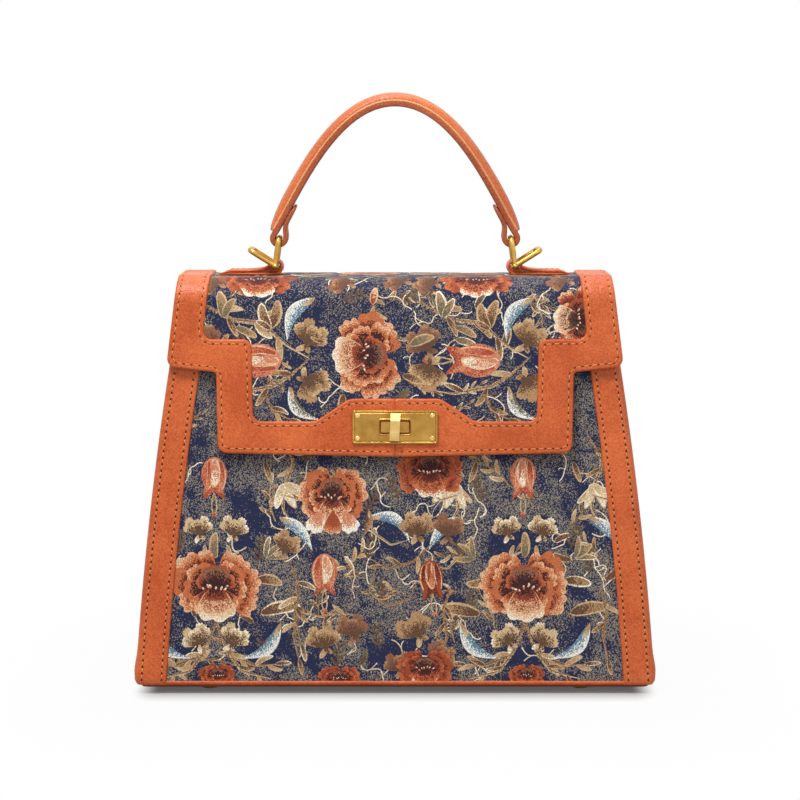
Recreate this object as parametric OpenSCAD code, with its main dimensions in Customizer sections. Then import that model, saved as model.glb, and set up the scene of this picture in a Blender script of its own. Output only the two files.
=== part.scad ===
// Structured flap bag with one top handle: floral cloth panels, leather trim and a brass turn lock.
// Sizes are in millimetres. +Z is up, the front faces -Y, the origin is on the floor under the middle.

/* [Body] */
// Width of the base over the leather corner strips
base_w = 280; // [250:1:310]
// Depth of the base between the outer faces of the cloth
base_d = 114; // [100:1:130]
// Depth of the mouth between the outer faces of the cloth
top_d = 64; // [56:1:80]
// Height of the mouth edge above the floor
mouth_z = 206; // [190:1:220]
// How far each side leans in for each millimetre of height
side_lean = 0.062; // [0.03:0.002:0.1]
// How fast that lean grows with height, which bows the sides
side_bow = 0.00027; // [0:0.00001:0.0004]
// Thickness of the backed cloth of the front and back
cloth_t = 1.6; // [1:0.1:2.4]
// Thickness of the trim leather
leather_t = 1.4; // [1:0.1:2]
// Thickness of the lining cloth
lining_t = 0.8; // [0.5:0.1:1.2]
// Room left between the lining and the walls
lining_fit = 0.1; // [0.05:0.05:0.4]

/* [Corner strips] */
// Width of a corner strip on the front or back
strip_w = 17; // [12:0.5:24]
// Width of the part of a strip that turns onto the side
wrap_w = 8; // [5:0.5:14]
// Radius of the turned corner
corner_r = 3; // [2:0.25:3.5]

/* [Sides] */
// Thickness of the side leather
gusset_t = 1.6; // [1.2:0.1:2.4]
// How far the middle of a side folds in at its top
fold_in = 16; // [4:1:24]
// Height where the fold starts
fold_z = 60; // [40:5:120]

/* [Base] */
// Height of the binding round the base
band_h = 3.8; // [3:0.2:6]
// Thickness of that binding
band_t = 2; // [1.4:0.1:3]
// How far the binding stands out from the cloth
band_out = 1; // [0.4:0.1:1.4]
// Thickness of the base leather
base_t = 2.2; // [1.6:0.1:3]
// Thickness of the stiff board on the base
board_t = 2.4; // [1.6:0.1:4]
// Room left round the board
board_fit = 0.5; // [0.3:0.1:1.5]

/* [Feet] */
// Height of a foot
foot_h = 3.2; // [2:0.2:6]
// Radius of a foot
foot_r = 5.5; // [4:0.25:8]
// Distance of a foot from the bag's side
foot_inset_x = 39.2; // [20:0.2:60]
// Distance of a foot from the bag's front or back
foot_inset_y = 17; // [11:1:27]
// Radius of a foot's stem
stem_r = 1.5; // [1:0.1:2]
// Radial room round pins that only pass through
pin_fit = 0.06; // [0.02:0.01:0.1]
// Thickness of the washer inside the bag
washer_t = 0.7; // [0.5:0.1:1]

/* [Flap] */
// Height of the flap's cloth at its flat top
flap_top = 222.5; // [212:0.5:240]
// Radius of the bend at the front and back of the top
bend_r = 14; // [10:0.5:20]
// Gap between the flap and the walls
flap_gap = 2.2; // [1.8:0.1:4]
// Thickness of the flap's cloth
flap_t = 1.2; // [0.8:0.1:2]
// Half width of the flap at its top
flap_hw = 117.5; // [110:0.5:122]
// Half width of the flap at the foot of its wings
wing_hw = 123.2; // [118:0.1:128]
// Height of the wings' lower edge at the outside
wing_z = 175.2; // [165:0.2:185]
// How far that edge runs down towards the tongue
wing_drop = 2.9; // [0:0.1:5]
// Half width of the tongue
tongue_hw = 95.3; // [85:0.1:105]
// Height of the tongue's lower corners
tongue_z = 129.2; // [120:0.2:140]
// How far the middle of the tongue hangs below its corners
tongue_dip = 2; // [0:0.1:4]
// Height of the flap's back edge
back_z = 184; // [176:1:194]
// Width of the leather band along the back edge
back_band = 16; // [10:1:22]
// Radius of the flap's outer corners
flap_corner_r = 5; // [2:0.5:8]

/* [Flap window] */
// Half width of the cloth at the top
window_hw = 100; // [92:0.5:106]
// Half width of the cloth above the wings
window_wing_hw = 103.5; // [96:0.5:110]
// Height of the cloth's edge above the wings
window_wing_z = 190; // [184:0.2:196]
// Half width of the cloth in the tongue
window_tongue_hw = 76.3; // [70:0.1:82]
// Height of the cloth's edge in the tongue
window_z = 146.2; // [140:0.2:152]
// Rise of that edge above the lock
window_rise = 12.1; // [6:0.1:18]
// Half width of the raised part at its foot
rise_foot_hw = 42.5; // [34:0.5:50]
// Half width of the raised part at its top
rise_top_hw = 24.6; // [18:0.2:32]
// Radius of the window's corners
window_r = 4.5; // [2:0.5:8]

/* [Lock] */
// Height of the lock's centre on the wall, before it leans
lock_z = 142.4; // [134:0.2:150]
// Width of the lock plate
plate_w = 46; // [40:0.5:52]
// Height of the lock plate
plate_h = 18; // [14:0.5:22]
// Thickness of the plate's lower step
plate_t = 1; // [0.6:0.1:1.6]
// Thickness of its upper step
plate_step = 0.5; // [0.3:0.1:1]
// Width of the bevels on both steps
plate_bevel = 0.7; // [0.3:0.1:1.2]
// Width of the slot
slot_w = 16.4; // [14:0.2:20]
// Height of the slot
slot_h = 7.2; // [6:0.2:9]
// Width of the raised rim round the slot
rim_w = 0.9; // [0.6:0.1:1.5]
// Height of that rim over the plate
rim_h = 0.6; // [0.3:0.1:1]
// Room between the post block and the slot
post_fit = 0.7; // [0.4:0.1:1]
// Length of the turning bar
toggle_l = 14.8; // [12:0.2:18]
// Width of the turning bar
toggle_w = 5.2; // [4:0.2:6]
// Thickness of the turning bar
toggle_t = 3.1; // [2:0.1:4]
// Length of the flat in the bar's middle
toggle_flat = 6.6; // [4:0.2:10]
// Thickness of the bar's ends
toggle_end = 1; // [0.6:0.1:2]
// Radius of the bar's stem
toggle_stem_r = 1.6; // [1:0.1:2]
// Lean of the bar from upright, clockwise from the front
toggle_lean = 3; // [0:0.5:8]
// Radius of the screw heads
screw_head_r = 1.15; // [0.8:0.05:1.6]
// Distance of the screws from the plate's edges
screw_inset = 2.9; // [2:0.1:4]

/* [Handle] */
// Height of the leather strap's outer face at the crown
crown_z = 317.7; // [300:0.5:335]
// Width of the strap
strap_w = 16; // [12:0.5:18]
// Radius of the loop round a ring's bar
loop_r = 5; // [4:0.1:7]
// Radius of the hole in that loop
loop_hole_r = 1.9; // [1.7:0.05:2.4]
// Lean of the strap where it meets the loop
leg_lean = 33; // [20:1:40]
// Pull of the curve at the crown
crown_pull = 35; // [25:1:45]
// Pull of the curve at the legs
leg_pull = 22; // [10:1:40]
// Distance of the folded tail's end from the loop
tail_reach = 20; // [14:0.5:26]
// Width of the pad on the strap
pad_w = 15; // [10:0.5:16]
// Height of the pad
pad_h = 4.6; // [3:0.1:7]
// Length over which the pad thins at each end
pad_taper = 24; // [10:1:40]

/* [Rings] */
// Diameter of the brass wire
wire_d = 2.9; // [2.4:0.1:3.4]
// Clear width inside a ring
ring_in = 18; // [16:0.5:22]
// Radius of the rounded ring corners, to the wire's middle
ring_corner_r = 3; // [2.4:0.1:5]
// Distance of a ring's middle bar from the bag's middle
ring_x = 65.6; // [55:0.1:75]
// Distance of the handle's bar from the bag's middle
handle_x = 63.6; // [55:0.1:72]
// Height of the handle's bar over the middle bar
handle_rise = 15; // [12:0.1:20]
// Length of the limb that takes a strap
strap_limb = 16.2; // [12:0.1:22]
// Angle of that limb above level
strap_limb_angle = 32; // [20:1:50]

/* [Tabs] */
// Thickness of a tab, two layers of leather
tab_t = 3; // [2:0.1:4]
// Width of a tab
tab_w = 16; // [12:0.5:18]
// Distance of a tab's outer end from the bag's middle
tab_end = 97; // [90:0.5:99]
// Outer radius of a tab's loop
tab_loop_r = 4.4; // [4:0.1:5.5]
// Radius of the hole in a tab's loop
tab_hole_r = 2.7; // [1.8:0.1:3.4]
// Gap left where the ring's bar pulls up against its loop
bar_gap = 0.3; // [0.2:0.05:0.5]
// Half width of a tab's narrow end
tab_nose = 3; // [1:0.5:6]
// Length of a tab's narrowing end
tab_taper = 10; // [5:0.5:16]

/* [Which piece] */
// Piece to draw

/* [Hidden] */
$fn = 48;
wall_steps = 10;
fillet_steps = 8;
curve_steps = 22;
dome_steps = 8;
reach = base_w / 2 + 10;
foot_x = base_w / 2 - foot_inset_x;
foot_y = base_d / 2 - foot_inset_y;
mid_gap = 0.1;
wall_z = foot_h + band_h;
lean = atan((base_d - top_d) / 2 / (mouth_z - wall_z));
cloth_y = cloth_t / cos(lean);
leather_y = leather_t / cos(lean);
toe = cloth_t * tan(lean) + mid_gap;
levels = [for (i = [0:wall_steps]) mix(wall_z, mouth_z, i / wall_steps)];
gusset_steps = wall_steps - 1;
gusset_top = levels[gusset_steps];
// Slight crease down the middle of each side, as a share of its half depth
crease = 0.002;
// Edges of a side's outline, behind its crease, that mirror the ones in front
mirrored_edges = [1, 4];
board_z = foot_h + base_t;
lining_z = board_z + board_t + washer_t + lining_fit;
lining_levels = concat([lining_z], [for (i = [1:gusset_steps]) levels[i]]);

// Heights of the flap's layers over the wall's face
lay_lining = flap_gap;
lay_cloth = lay_lining + lining_t;
lay_trim = lay_cloth + flap_t;
lay_lock = lay_trim + leather_t;
bend_in = bend_r - lay_trim;
bend_z = flap_top - bend_r;

lock_v = (lock_z - wall_z) / cos(lean);
lock_flange_t = 1;
lock_flange_w = plate_w - 12;
lock_flange_h = plate_h - 4;
backing_t = 0.8;
rim_top = lay_lock + plate_t + plate_step + rim_h;
post_top = rim_top - rim_h;
boss_top = rim_top + 0.3;
boss_r = toggle_w / 2 - 0.1;
toggle_floor = boss_top + 0.05;
toggle_stem_l = 3.4;
screw_r = 0.65;
screw_head_h = 0.6;
screw_x = plate_w / 2 - screw_inset;
screw_y = plate_h / 2 - screw_inset;

wire_r = wire_d / 2;
ring_half = ring_in / 2 + wire_r;
bar_r = 1.06 * wire_r;
tab_loop_z = flap_top + tab_loop_r;
ring_z = tab_loop_z + tab_hole_r - bar_r - bar_gap;
handle_z = ring_z + handle_rise;
handle_limb = norm([handle_rise, ring_x - handle_x]);
handle_limb_angle = atan2(handle_rise, handle_x - ring_x);
strap_t = loop_r - loop_hole_r;
bar = [handle_x, handle_z];
leg_way = [sin(leg_lean), -cos(leg_lean)];
leg_out = [cos(leg_lean), sin(leg_lean)];
leg_end = bar + loop_r * leg_out;
pad_edge = 0.7;

// Small helpers for lines and curves
function mix(a, b, t) = a + (b - a) * t;
function unit(v) = v / norm(v);
function back_to_front(list) = [for (i = [len(list) - 1:-1:0]) list[i]];
function both_sides(path) = concat(path, [for (p = back_to_front(path)) [-p[0], p[1], p[2]]]);

// Outer half width and half depth of the walls at a height
function half_w(z) = base_w / 2 - side_lean * (z - wall_z) - side_bow * pow(z - wall_z, 2);
function half_d(z) = mix(base_d, top_d, (z - wall_z) / (mouth_z - wall_z)) / 2;
function wall_v(z) = max(toe, (z - wall_z) / cos(lean));
function side_y(z) = half_d(z) - cloth_y;
function dip_at(z) = fold_in * max(0, z - fold_z) / (gusset_top - fold_z) + crease * side_y(z);

// An outline whose corners are [x, y, radius]
function turn(a, b) = let (d = b - a) d > 180 ? d - 360 : d < -180 ? d + 360 : d;
function fillet(a, b, c, r) =
    r <= 0 ? [b] :
    let (p = unit(a - b))
    let (q = unit(c - b))
    let (half = acos(p * q) / 2)
    let (o = b + unit(p + q) * r / sin(half))
    let (s = b + p * r / tan(half) - o)
    let (e = b + q * r / tan(half) - o)
    let (from = atan2(s[1], s[0]))
    let (by = turn(from, atan2(e[1], e[0])))
    [for (k = [0:fillet_steps]) o + r * [cos(from + by * k / fillet_steps), sin(from + by * k / fillet_steps)]];
function flat(p) = [p[0], p[1]];
function rounded(path) = let (n = len(path))
    [for (i = [0:n - 1]) each fillet(flat(path[(i + n - 1) % n]), flat(path[i]), flat(path[(i + 1) % n]), path[i][2])];

// End face of a loft: a strip of triangles across an arch, or one flat face
function end_face(n, arch) =
    arch
    ? concat(
        [for (k = [0:n / 2 - 2]) [k, k + 1, n - 2 - k]],
        [for (k = [0:n / 2 - 2]) [k, n - 2 - k, n - 1 - k]]
    )
    : [[for (i = [0:n - 1]) i]];

// Two triangles between neighbouring rings, split one way or the other
function patch(a, b, c, d, flip) = flip ? [[a, b, d], [b, c, d]] : [[a, b, c], [a, c, d]];

// Solid through a row of rings with equal point counts; flips lists the ring edges split the other way
module loft(rings, arch = false, flips = []) {
    n = len(rings[0]);
    m = len(rings);
    polyhedron(
        points = [for (r = rings, p = r) p],
        faces = concat(
            end_face(n, arch),
            [
                for (k = [0:m - 2], i = [0:n - 1])
                    let (low = k * n)
                    let (high = low + n)
                    let (j = (i + 1) % n)
                    each patch(low + i, high + i, high + j, low + j, len(search(i, flips)) > 0)
            ],
            [for (f = end_face(n, arch)) [for (i = back_to_front(f)) (m - 1) * n + i]]
        )
    );
}

// Places flat work on the leaning front or back wall, its face at height 0
module on_front() {
    translate([0, -base_d / 2, wall_z])
        rotate([90 - lean, 0, 0])
            children();
}

module on_back() {
    mirror([0, 1, 0])
        on_front()
            children();
}

// Cloth of the front, which the back mirrors
module wall_cloth() {
    right = [for (z = levels) [half_w(z) - leather_t, wall_v(z)]];
    left = [for (p = back_to_front(right)) [-p[0], p[1]]];
    translate([0, 0, -cloth_t])
        linear_extrude(cloth_t)
            polygon(concat(right, left));
}

module front_panel() {
    color("#4a4a5c")
        on_front()
            wall_cloth();
}

module back_panel() {
    color("#4a4a5c")
        on_back()
            wall_cloth();
}

// Right side: flat at the foot, folding in towards its top
function gusset_ring(z) =
    let (x = half_w(z) - leather_t)
    let (y = side_y(z))
    let (f = x - dip_at(z))
    [
        [x, -y, z], [f, 0, z], [x, y, z],
        [x - gusset_t, y, z], [f - gusset_t, 0, z], [x - gusset_t, -y, z]
    ];

module gusset_right() {
    color("#b5562b")
        loft([for (i = [0:gusset_steps]) gusset_ring(levels[i])], flips = mirrored_edges);
}

module gusset_left() {
    mirror([1, 0, 0])
        gusset_right();
}

// Front right strip: lies on the cloth and turns round the corner onto the side
function strip_ring(z) =
    let (x = half_w(z))
    let (y = half_d(z))
    let (face = y + leather_y)
    concat(
        [[x - strip_w, -face, z]],
        [for (a = [-90:30:0]) [x + corner_r * (cos(a) - 1), corner_r * (sin(a) + 1) - face, z]],
        [[x, wrap_w - y, z], [x - leather_t, wrap_w - y, z], [x - leather_t, -y, z], [x - strip_w, -y, z]]
    );

module front_strip_right() {
    color("#c8602e")
        loft([for (z = levels) strip_ring(z)]);
}

module front_strip_left() {
    mirror([1, 0, 0])
        front_strip_right();
}

module back_strip_right() {
    mirror([0, 1, 0])
        front_strip_right();
}

module back_strip_left() {
    mirror([1, 0, 0])
        back_strip_right();
}

// Rectangle with round corners, about the origin
module round_rect(w, h, r) {
    hw = w / 2;
    hh = h / 2;
    polygon(rounded([[hw, -hh, r], [hw, hh, r], [-hw, hh, r], [-hw, -hh, r]]));
}

band_w = base_w - 2 * (leather_t - band_out);
band_d = base_d + 2 * band_out;
band_r = 6;

module base_band() {
    color("#a84f28")
        translate([0, 0, foot_h])
            linear_extrude(band_h)
                difference() {
                    round_rect(band_w, band_d, band_r);
                    round_rect(band_w - 2 * band_t, band_d - 2 * band_t, band_r - band_t);
                }
}

// Puts a piece at each of the four feet
module at_feet() {
    for (x = [-foot_x, foot_x], y = [-foot_y, foot_y])
        translate([x, y, 0])
            children();
}

module foot_holes() {
    at_feet()
        cylinder(r = stem_r + pin_fit, h = 2 * wall_z);
}

module base_panel() {
    color("#b5562b")
        difference() {
            translate([0, 0, foot_h])
                linear_extrude(base_t)
                    round_rect(band_w - 2 * band_t, band_d - 2 * band_t, band_r - band_t);
            foot_holes();
        }
}

board_w = base_w - 2 * (leather_t + gusset_t + board_fit);
board_d = base_d - 2 * (cloth_y + board_fit);

module base_board() {
    color("#8d7a63")
        difference() {
            translate([0, 0, board_z])
                linear_extrude(board_t)
                    round_rect(board_w, board_d, band_r - band_t);
            foot_holes();
        }
}

// Lining of the front, which the back mirrors
lining_w = cloth_t + lining_fit + lining_t;
function lining_x(z) = half_w(z) - leather_t - gusset_t - lining_fit;
function lining_y(z) = half_d(z) - lining_w / cos(lean);

module wall_lining() {
    right = [for (z = lining_levels) [lining_x(z), wall_v(z)]];
    left = [for (p = back_to_front(right)) [-p[0], p[1]]];
    translate([0, 0, -lining_w])
        linear_extrude(lining_t)
            polygon(concat(right, left));
}

module lining_front() {
    color("#9a8468")
        on_front()
            wall_lining();
}

module lining_back() {
    color("#9a8468")
        on_back()
            wall_lining();
}

// Lining of the right side, folded in like the leather outside it
function lining_ring(z) =
    let (y = lining_y(z))
    let (x = lining_x(z) - dip_at(z) * (1 - y / side_y(z)))
    let (f = lining_x(z) - dip_at(z))
    [
        [x, -y, z], [f, 0, z], [x, y, z],
        [x - lining_t, y, z], [f - lining_t, 0, z], [x - lining_t, -y, z]
    ];

module lining_right() {
    color("#9a8468")
        loft([for (z = lining_levels) lining_ring(z)], flips = mirrored_edges);
}

module lining_left() {
    mirror([1, 0, 0])
        lining_right();
}

module lining_floor() {
    inset = lining_t + lining_fit;
    color("#9a8468")
        translate([0, 0, lining_z])
            linear_extrude(lining_t)
                round_rect(2 * lining_x(lining_z) - 2 * inset, 2 * lining_y(lining_z) - 2 * inset, 1);
}

// Leather facing inside the mouth, above the lining
module wall_facing() {
    low = wall_v(gusset_top) + 2 * mid_gap;
    high = wall_v(mouth_z);
    foot = half_w(gusset_top) - strip_w;
    head = half_w(mouth_z) - strip_w;
    translate([0, 0, -cloth_t - leather_t])
        linear_extrude(leather_t)
            polygon([[-foot, low], [foot, low], [head, high], [-head, high]]);
}

module facing_front() {
    color("#b5562b")
        on_front()
            wall_facing();
}

module facing_back() {
    color("#b5562b")
        on_back()
            wall_facing();
}

// Brass foot: domed stud with a stem through the base and its board
module foot() {
    top = board_z + board_t + washer_t;
    ease = foot_h / 2;
    rotate_extrude()
        polygon([
            [0, 0], [foot_r - ease, 0], [foot_r - ease / 3, ease / 3], [foot_r, ease],
            [foot_r, foot_h], [stem_r, foot_h], [stem_r, top], [0, top]
        ]);
}

module foot_front_left() {
    color("#b98f45")
        translate([-foot_x, -foot_y, 0])
            foot();
}

module foot_front_right() {
    color("#b98f45")
        translate([foot_x, -foot_y, 0])
            foot();
}

module foot_back_left() {
    color("#b98f45")
        translate([-foot_x, foot_y, 0])
            foot();
}

module foot_back_right() {
    color("#b98f45")
        translate([foot_x, foot_y, 0])
            foot();
}

module foot_washers() {
    color("#b98f45")
        at_feet()
            translate([0, 0, board_z + board_t])
                difference() {
                    cylinder(r = foot_r, h = washer_t);
                    cylinder(r = stem_r + pin_fit, h = 3 * washer_t, center = true);
                }
}

// Side view of all that lies under the flap's surface at height w over the walls
module under_flap(w) {
    r = bend_in + w;
    low = tongue_z - tongue_dip - 10;
    high = bend_z + r;
    wall_y = half_d(low) + w / cos(lean);
    roof_y = half_d(high) + w / cos(lean);
    polygon(rounded(both_sides([[wall_y, low, 0], [roof_y, high, r]])));
}

// Bent sheet between two heights over the walls
module flap_sheet(low, high) {
    rotate([90, 0, 90])
        linear_extrude(2 * reach, center = true)
            difference() {
                under_flap(high);
                under_flap(low);
            }
}

// Front and back views of the flap's edge, straight down from above its top
flap_sky = flap_top + 20;
side_slope = (wing_hw - flap_hw) / (flap_top - wing_z);
window_slope = (window_wing_hw - window_hw) / (flap_top - window_wing_z);

module flap_front_edge() {
    polygon(rounded(both_sides([
        [flap_hw - side_slope * (flap_sky - flap_top), flap_sky, 0],
        [wing_hw, wing_z, flap_corner_r],
        [tongue_hw + 1, wing_z - wing_drop, 2],
        [tongue_hw, tongue_z, flap_corner_r],
        [0.3, tongue_z - tongue_dip, 0]
    ])));
}

module flap_front_window() {
    polygon(rounded(both_sides([
        [window_hw - window_slope * (flap_sky - flap_top), flap_sky, 0],
        [window_wing_hw, window_wing_z, window_r],
        [window_tongue_hw + 1, window_wing_z, window_r],
        [window_tongue_hw, window_z, window_r],
        [rise_foot_hw, window_z, 2 * window_r],
        [rise_top_hw, window_z + window_rise, 2 * window_r]
    ])));
}

module flap_back_edge() {
    polygon(rounded(both_sides([
        [flap_hw - side_slope * (flap_sky - flap_top), flap_sky, 0],
        [flap_hw + side_slope * (flap_top - back_z), back_z, flap_corner_r]
    ])));
}

module flap_back_window() {
    low = back_z + back_band;
    polygon(rounded(both_sides([
        [window_hw - window_slope * (flap_sky - flap_top), flap_sky, 0],
        [window_hw + window_slope * (flap_top - low), low, window_r]
    ])));
}

// Front outline runs forward from the middle, back outline runs backward
module flap_edge_block() {
    rotate([90, 0, 0])
        linear_extrude(reach)
            flap_front_edge();
    rotate([90, 0, 0])
        translate([0, 0, -reach])
            linear_extrude(reach)
                flap_back_edge();
}

module half_plane() {
    translate([mid_gap, 0])
        square([reach, 2 * reach]);
}

module trim_block() {
    rotate([90, 0, 0])
        linear_extrude(reach)
            intersection() {
                difference() {
                    flap_front_edge();
                    flap_front_window();
                }
                half_plane();
            }
    rotate([90, 0, 0])
        translate([0, 0, -reach])
            linear_extrude(reach)
                intersection() {
                    difference() {
                        flap_back_edge();
                        flap_back_window();
                    }
                    half_plane();
                }
}

// Places lock work at the lock's centre on the front wall
module at_lock(w) {
    on_front()
        translate([0, lock_v, w])
            children();
}

module at_screws() {
    for (x = [-screw_x, screw_x], y = [-screw_y, screw_y])
        translate([x, y, 0])
            children();
}

// Slot and screw holes through the flap's layers
module lock_cut() {
    at_lock(lock_flange_t) {
        linear_extrude(lay_lock)
            round_rect(slot_w + post_fit, slot_h + post_fit, 1);
        at_screws()
            cylinder(r = screw_r + pin_fit, h = lay_lock);
    }
}

module flap_lining() {
    color("#a86a3c")
        difference() {
            intersection() {
                flap_sheet(lay_lining, lay_cloth);
                flap_edge_block();
            }
            lock_cut();
        }
}

module flap_panel() {
    color("#4a4a5c")
        difference() {
            intersection() {
                flap_sheet(lay_cloth, lay_trim);
                flap_edge_block();
            }
            lock_cut();
        }
}

module flap_trim_right() {
    color("#c8602e")
        difference() {
            intersection() {
                flap_sheet(lay_trim, lay_lock);
                trim_block();
            }
            lock_cut();
        }
}

module flap_trim_left() {
    mirror([1, 0, 0])
        flap_trim_right();
}

// Filler that joins the flap's back edge to the back wall, between the corner strips
module flap_seam() {
    low = wall_v(back_z + 2);
    high = low + back_band - 4;
    foot = half_w(back_z) - strip_w - 1;
    color("#a84f28")
        on_back()
            linear_extrude(lay_lining)
                polygon([[-foot, low], [foot, low], [foot - 2, high], [2 - foot, high]]);
}

// Plate with a bevelled edge
module bevel_plate(w, h, t) {
    hull() {
        translate([-w / 2, -h / 2, 0])
            cube([w, h, t / 2]);
        translate([plate_bevel / 2 - w / 2, plate_bevel / 2 - h / 2, 0])
            cube([w - plate_bevel, h - plate_bevel, t]);
    }
}

// Stepped plate with a raised rim round its slot
module lock_plate() {
    rim_r = 1.6;
    rim_base = plate_t + plate_step;
    color("#b98f45")
        at_lock(lay_lock)
            difference() {
                union() {
                    bevel_plate(plate_w, plate_h, plate_t);
                    translate([0, 0, plate_t])
                        bevel_plate(plate_w - 3 * plate_bevel, plate_h - 3 * plate_bevel, plate_step);
                    translate([0, 0, plate_t])
                        linear_extrude(plate_step + rim_h)
                            round_rect(slot_w + 2 * rim_w, slot_h + 2 * rim_w, rim_r);
                }
                translate([0, 0, -plate_t])
                    linear_extrude(4 * rim_base)
                        round_rect(slot_w, slot_h, rim_r - rim_w);
                at_screws()
                    cylinder(r = screw_r + pin_fit, h = 4 * rim_base, center = true);
            }
}

// Domed screws through the plate and the flap into the backing
module lock_screws() {
    head = plate_t + plate_step;
    dome_r = (screw_head_r * screw_head_r + screw_head_h * screw_head_h) / (2 * screw_head_h);
    color("#c9a352")
        at_lock(lay_lock)
            at_screws() {
                translate([0, 0, backing_t / 2 - lay_lock + lay_lining - backing_t])
                    cylinder(r = screw_r, h = head + lay_lock - lay_lining + backing_t / 2);
                intersection() {
                    translate([0, 0, head])
                        cylinder(r = screw_head_r, h = screw_head_h);
                    translate([0, 0, head + screw_head_h - dome_r])
                        sphere(dome_r);
                }
            }
}

module lock_backing() {
    color("#b98f45")
        difference() {
            at_lock(lay_lining - backing_t)
                linear_extrude(backing_t)
                    round_rect(plate_w - 1, plate_h - 1, 2);
            lock_cut();
        }
}

// Post block on the front wall, with a bore for the turning bar's stem
module lock_base() {
    bore_floor = toggle_floor - toggle_stem_l - 0.3;
    color("#b98f45")
        at_lock(0)
            difference() {
                union() {
                    linear_extrude(lock_flange_t)
                        round_rect(lock_flange_w, lock_flange_h, 2);
                    linear_extrude(post_top)
                        round_rect(slot_w - 2 * post_fit, slot_h - 2 * post_fit, 0.6);
                    cylinder(r = boss_r, h = boss_top);
                }
                translate([0, 0, bore_floor])
                    cylinder(r = toggle_stem_r + pin_fit, h = boss_top);
            }
}

// Turning bar: flat middle, ends that slope down, and a stem in the post block
module lock_toggle() {
    end = toggle_l / 2;
    mid = toggle_flat / 2;
    color("#c9a352")
        at_lock(toggle_floor)
            rotate([0, 0, -toggle_lean]) {
                translate([-toggle_w / 2, 0, 0])
                    rotate([90, 0, 90])
                        linear_extrude(toggle_w)
                            polygon([
                                [-end, 0], [end, 0], [end, toggle_end],
                                [mid, toggle_t], [-mid, toggle_t], [-end, toggle_end]
                            ]);
                translate([0, 0, -toggle_stem_l])
                    cylinder(r = toggle_stem_r, h = toggle_stem_l + toggle_end / 2);
            }
}

// Handle line: the strap's outer face, from the left loop over the crown to the right loop
function curve(a, b, c, d, t) =
    a * pow(1 - t, 3) + b * 3 * t * pow(1 - t, 2) + c * 3 * t * t * (1 - t) + d * pow(t, 3);
function right_line(t) =
    curve([0, crown_z], [crown_pull, crown_z], leg_end - leg_pull * leg_way, leg_end, t);
right_half = [for (i = [0:curve_steps]) right_line(i / curve_steps)];
left_half = [for (i = [curve_steps:-1:1]) [-right_half[i][0], right_half[i][1]]];
handle_line = concat(left_half, right_half);
line_last = len(handle_line) - 1;
function way(i) =
    i == 0 ? [leg_way[0], -leg_way[1]] :
    i == line_last ? leg_way :
    unit(handle_line[i + 1] - handle_line[i - 1]);
function out(i) = let (w = way(i)) [-w[1], w[0]];

// Where a line from p touches the circle, on its inner side
function touch(c, r, p) =
    let (d = p - c)
    let (a = atan2(d[1], d[0]) + acos(r / norm(d)))
    c + r * [cos(a), sin(a)];
tail_top = bar + loop_hole_r * leg_out - tail_reach * leg_way;
tail_end = tail_top - 0.9 * strap_t * leg_out + strap_t / 3 * leg_way;

// Round bar across the handle at the right ring's bar
module cross_bar(r, l) {
    translate(bar)
        cylinder(r = r, h = l, center = true);
}

// Loop and folded tail of the right end, flat in the handle's plane
module strap_loop() {
    difference() {
        union() {
            cross_bar(loop_r, strap_w);
            linear_extrude(strap_w, center = true)
                polygon([
                    bar + loop_hole_r / 2 * leg_out, bar, touch(bar, loop_r, tail_end), tail_end, tail_top
                ]);
        }
        cross_bar(loop_hole_r, 2 * strap_w);
        linear_extrude(2 * strap_w, center = true)
            polygon([tail_top, bar + loop_hole_r * leg_out, bar, touch(bar, loop_hole_r, tail_top)]);
    }
}

module handle_strap() {
    inner = [for (i = [line_last:-1:0]) handle_line[i] - strap_t * out(i)];
    color("#b5562b")
        rotate([90, 0, 0])
            union() {
                linear_extrude(strap_w, center = true)
                    polygon(concat(handle_line, inner));
                strap_loop();
                mirror([1, 0, 0])
                    strap_loop();
            }
}

// Half-round dome over the strap; size 1 is the outside, the inside leaves the cover's thickness
function from_end(i) = min(norm(handle_line[i] - handle_line[0]), norm(handle_line[i] - handle_line[line_last]));
function swell(i) = let (t = min(1, from_end(i) / pad_taper)) sqrt(t * (2 - t));
function dome_point(i, a, w, h) =
    let (p = handle_line[i] + h * pow(sin(a), 0.8) * out(i))
    [p[0], w / 2 * cos(a), p[1]];
function pad_rise(i) = pad_edge + (pad_h - pad_edge) * swell(i);
function core_rise(i) = pad_edge / 2 + (pad_h - leather_t - pad_edge / 2) * swell(i);
core_w = pad_w - 2 * leather_t;
function outer_arc(i) = [for (k = [0:dome_steps]) dome_point(i, 180 * k / dome_steps, pad_w, pad_rise(i))];
function inner_arc(i) = [for (k = [0:dome_steps]) dome_point(i, 180 * k / dome_steps, core_w, core_rise(i))];

module handle_pad() {
    color("#c8602e")
        loft([for (i = [1:line_last - 1]) concat(outer_arc(i), back_to_front(inner_arc(i)))], arch = true);
}

module handle_core() {
    color("#d8c9a8")
        loft([for (i = [1:line_last - 1]) inner_arc(i)]);
}

// One loop of a ring: two limbs along +X from the middle bar, round corners and an end bar
module ring_loop(l) {
    limb = l - ring_corner_r;
    side = ring_half - ring_corner_r;
    for (s = [-1, 1]) {
        translate([0, s * ring_half, 0])
            rotate([0, 90, 0])
                cylinder(r = wire_r, h = limb);
        translate([limb, s * side, 0])
            rotate([0, 0, s > 0 ? 0 : -90])
                rotate_extrude(angle = 90)
                    translate([ring_corner_r, 0])
                        circle(wire_r);
    }
    translate([l, side, 0])
        rotate([90, 0, 0])
            cylinder(r = wire_r, h = 2 * side);
}

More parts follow.
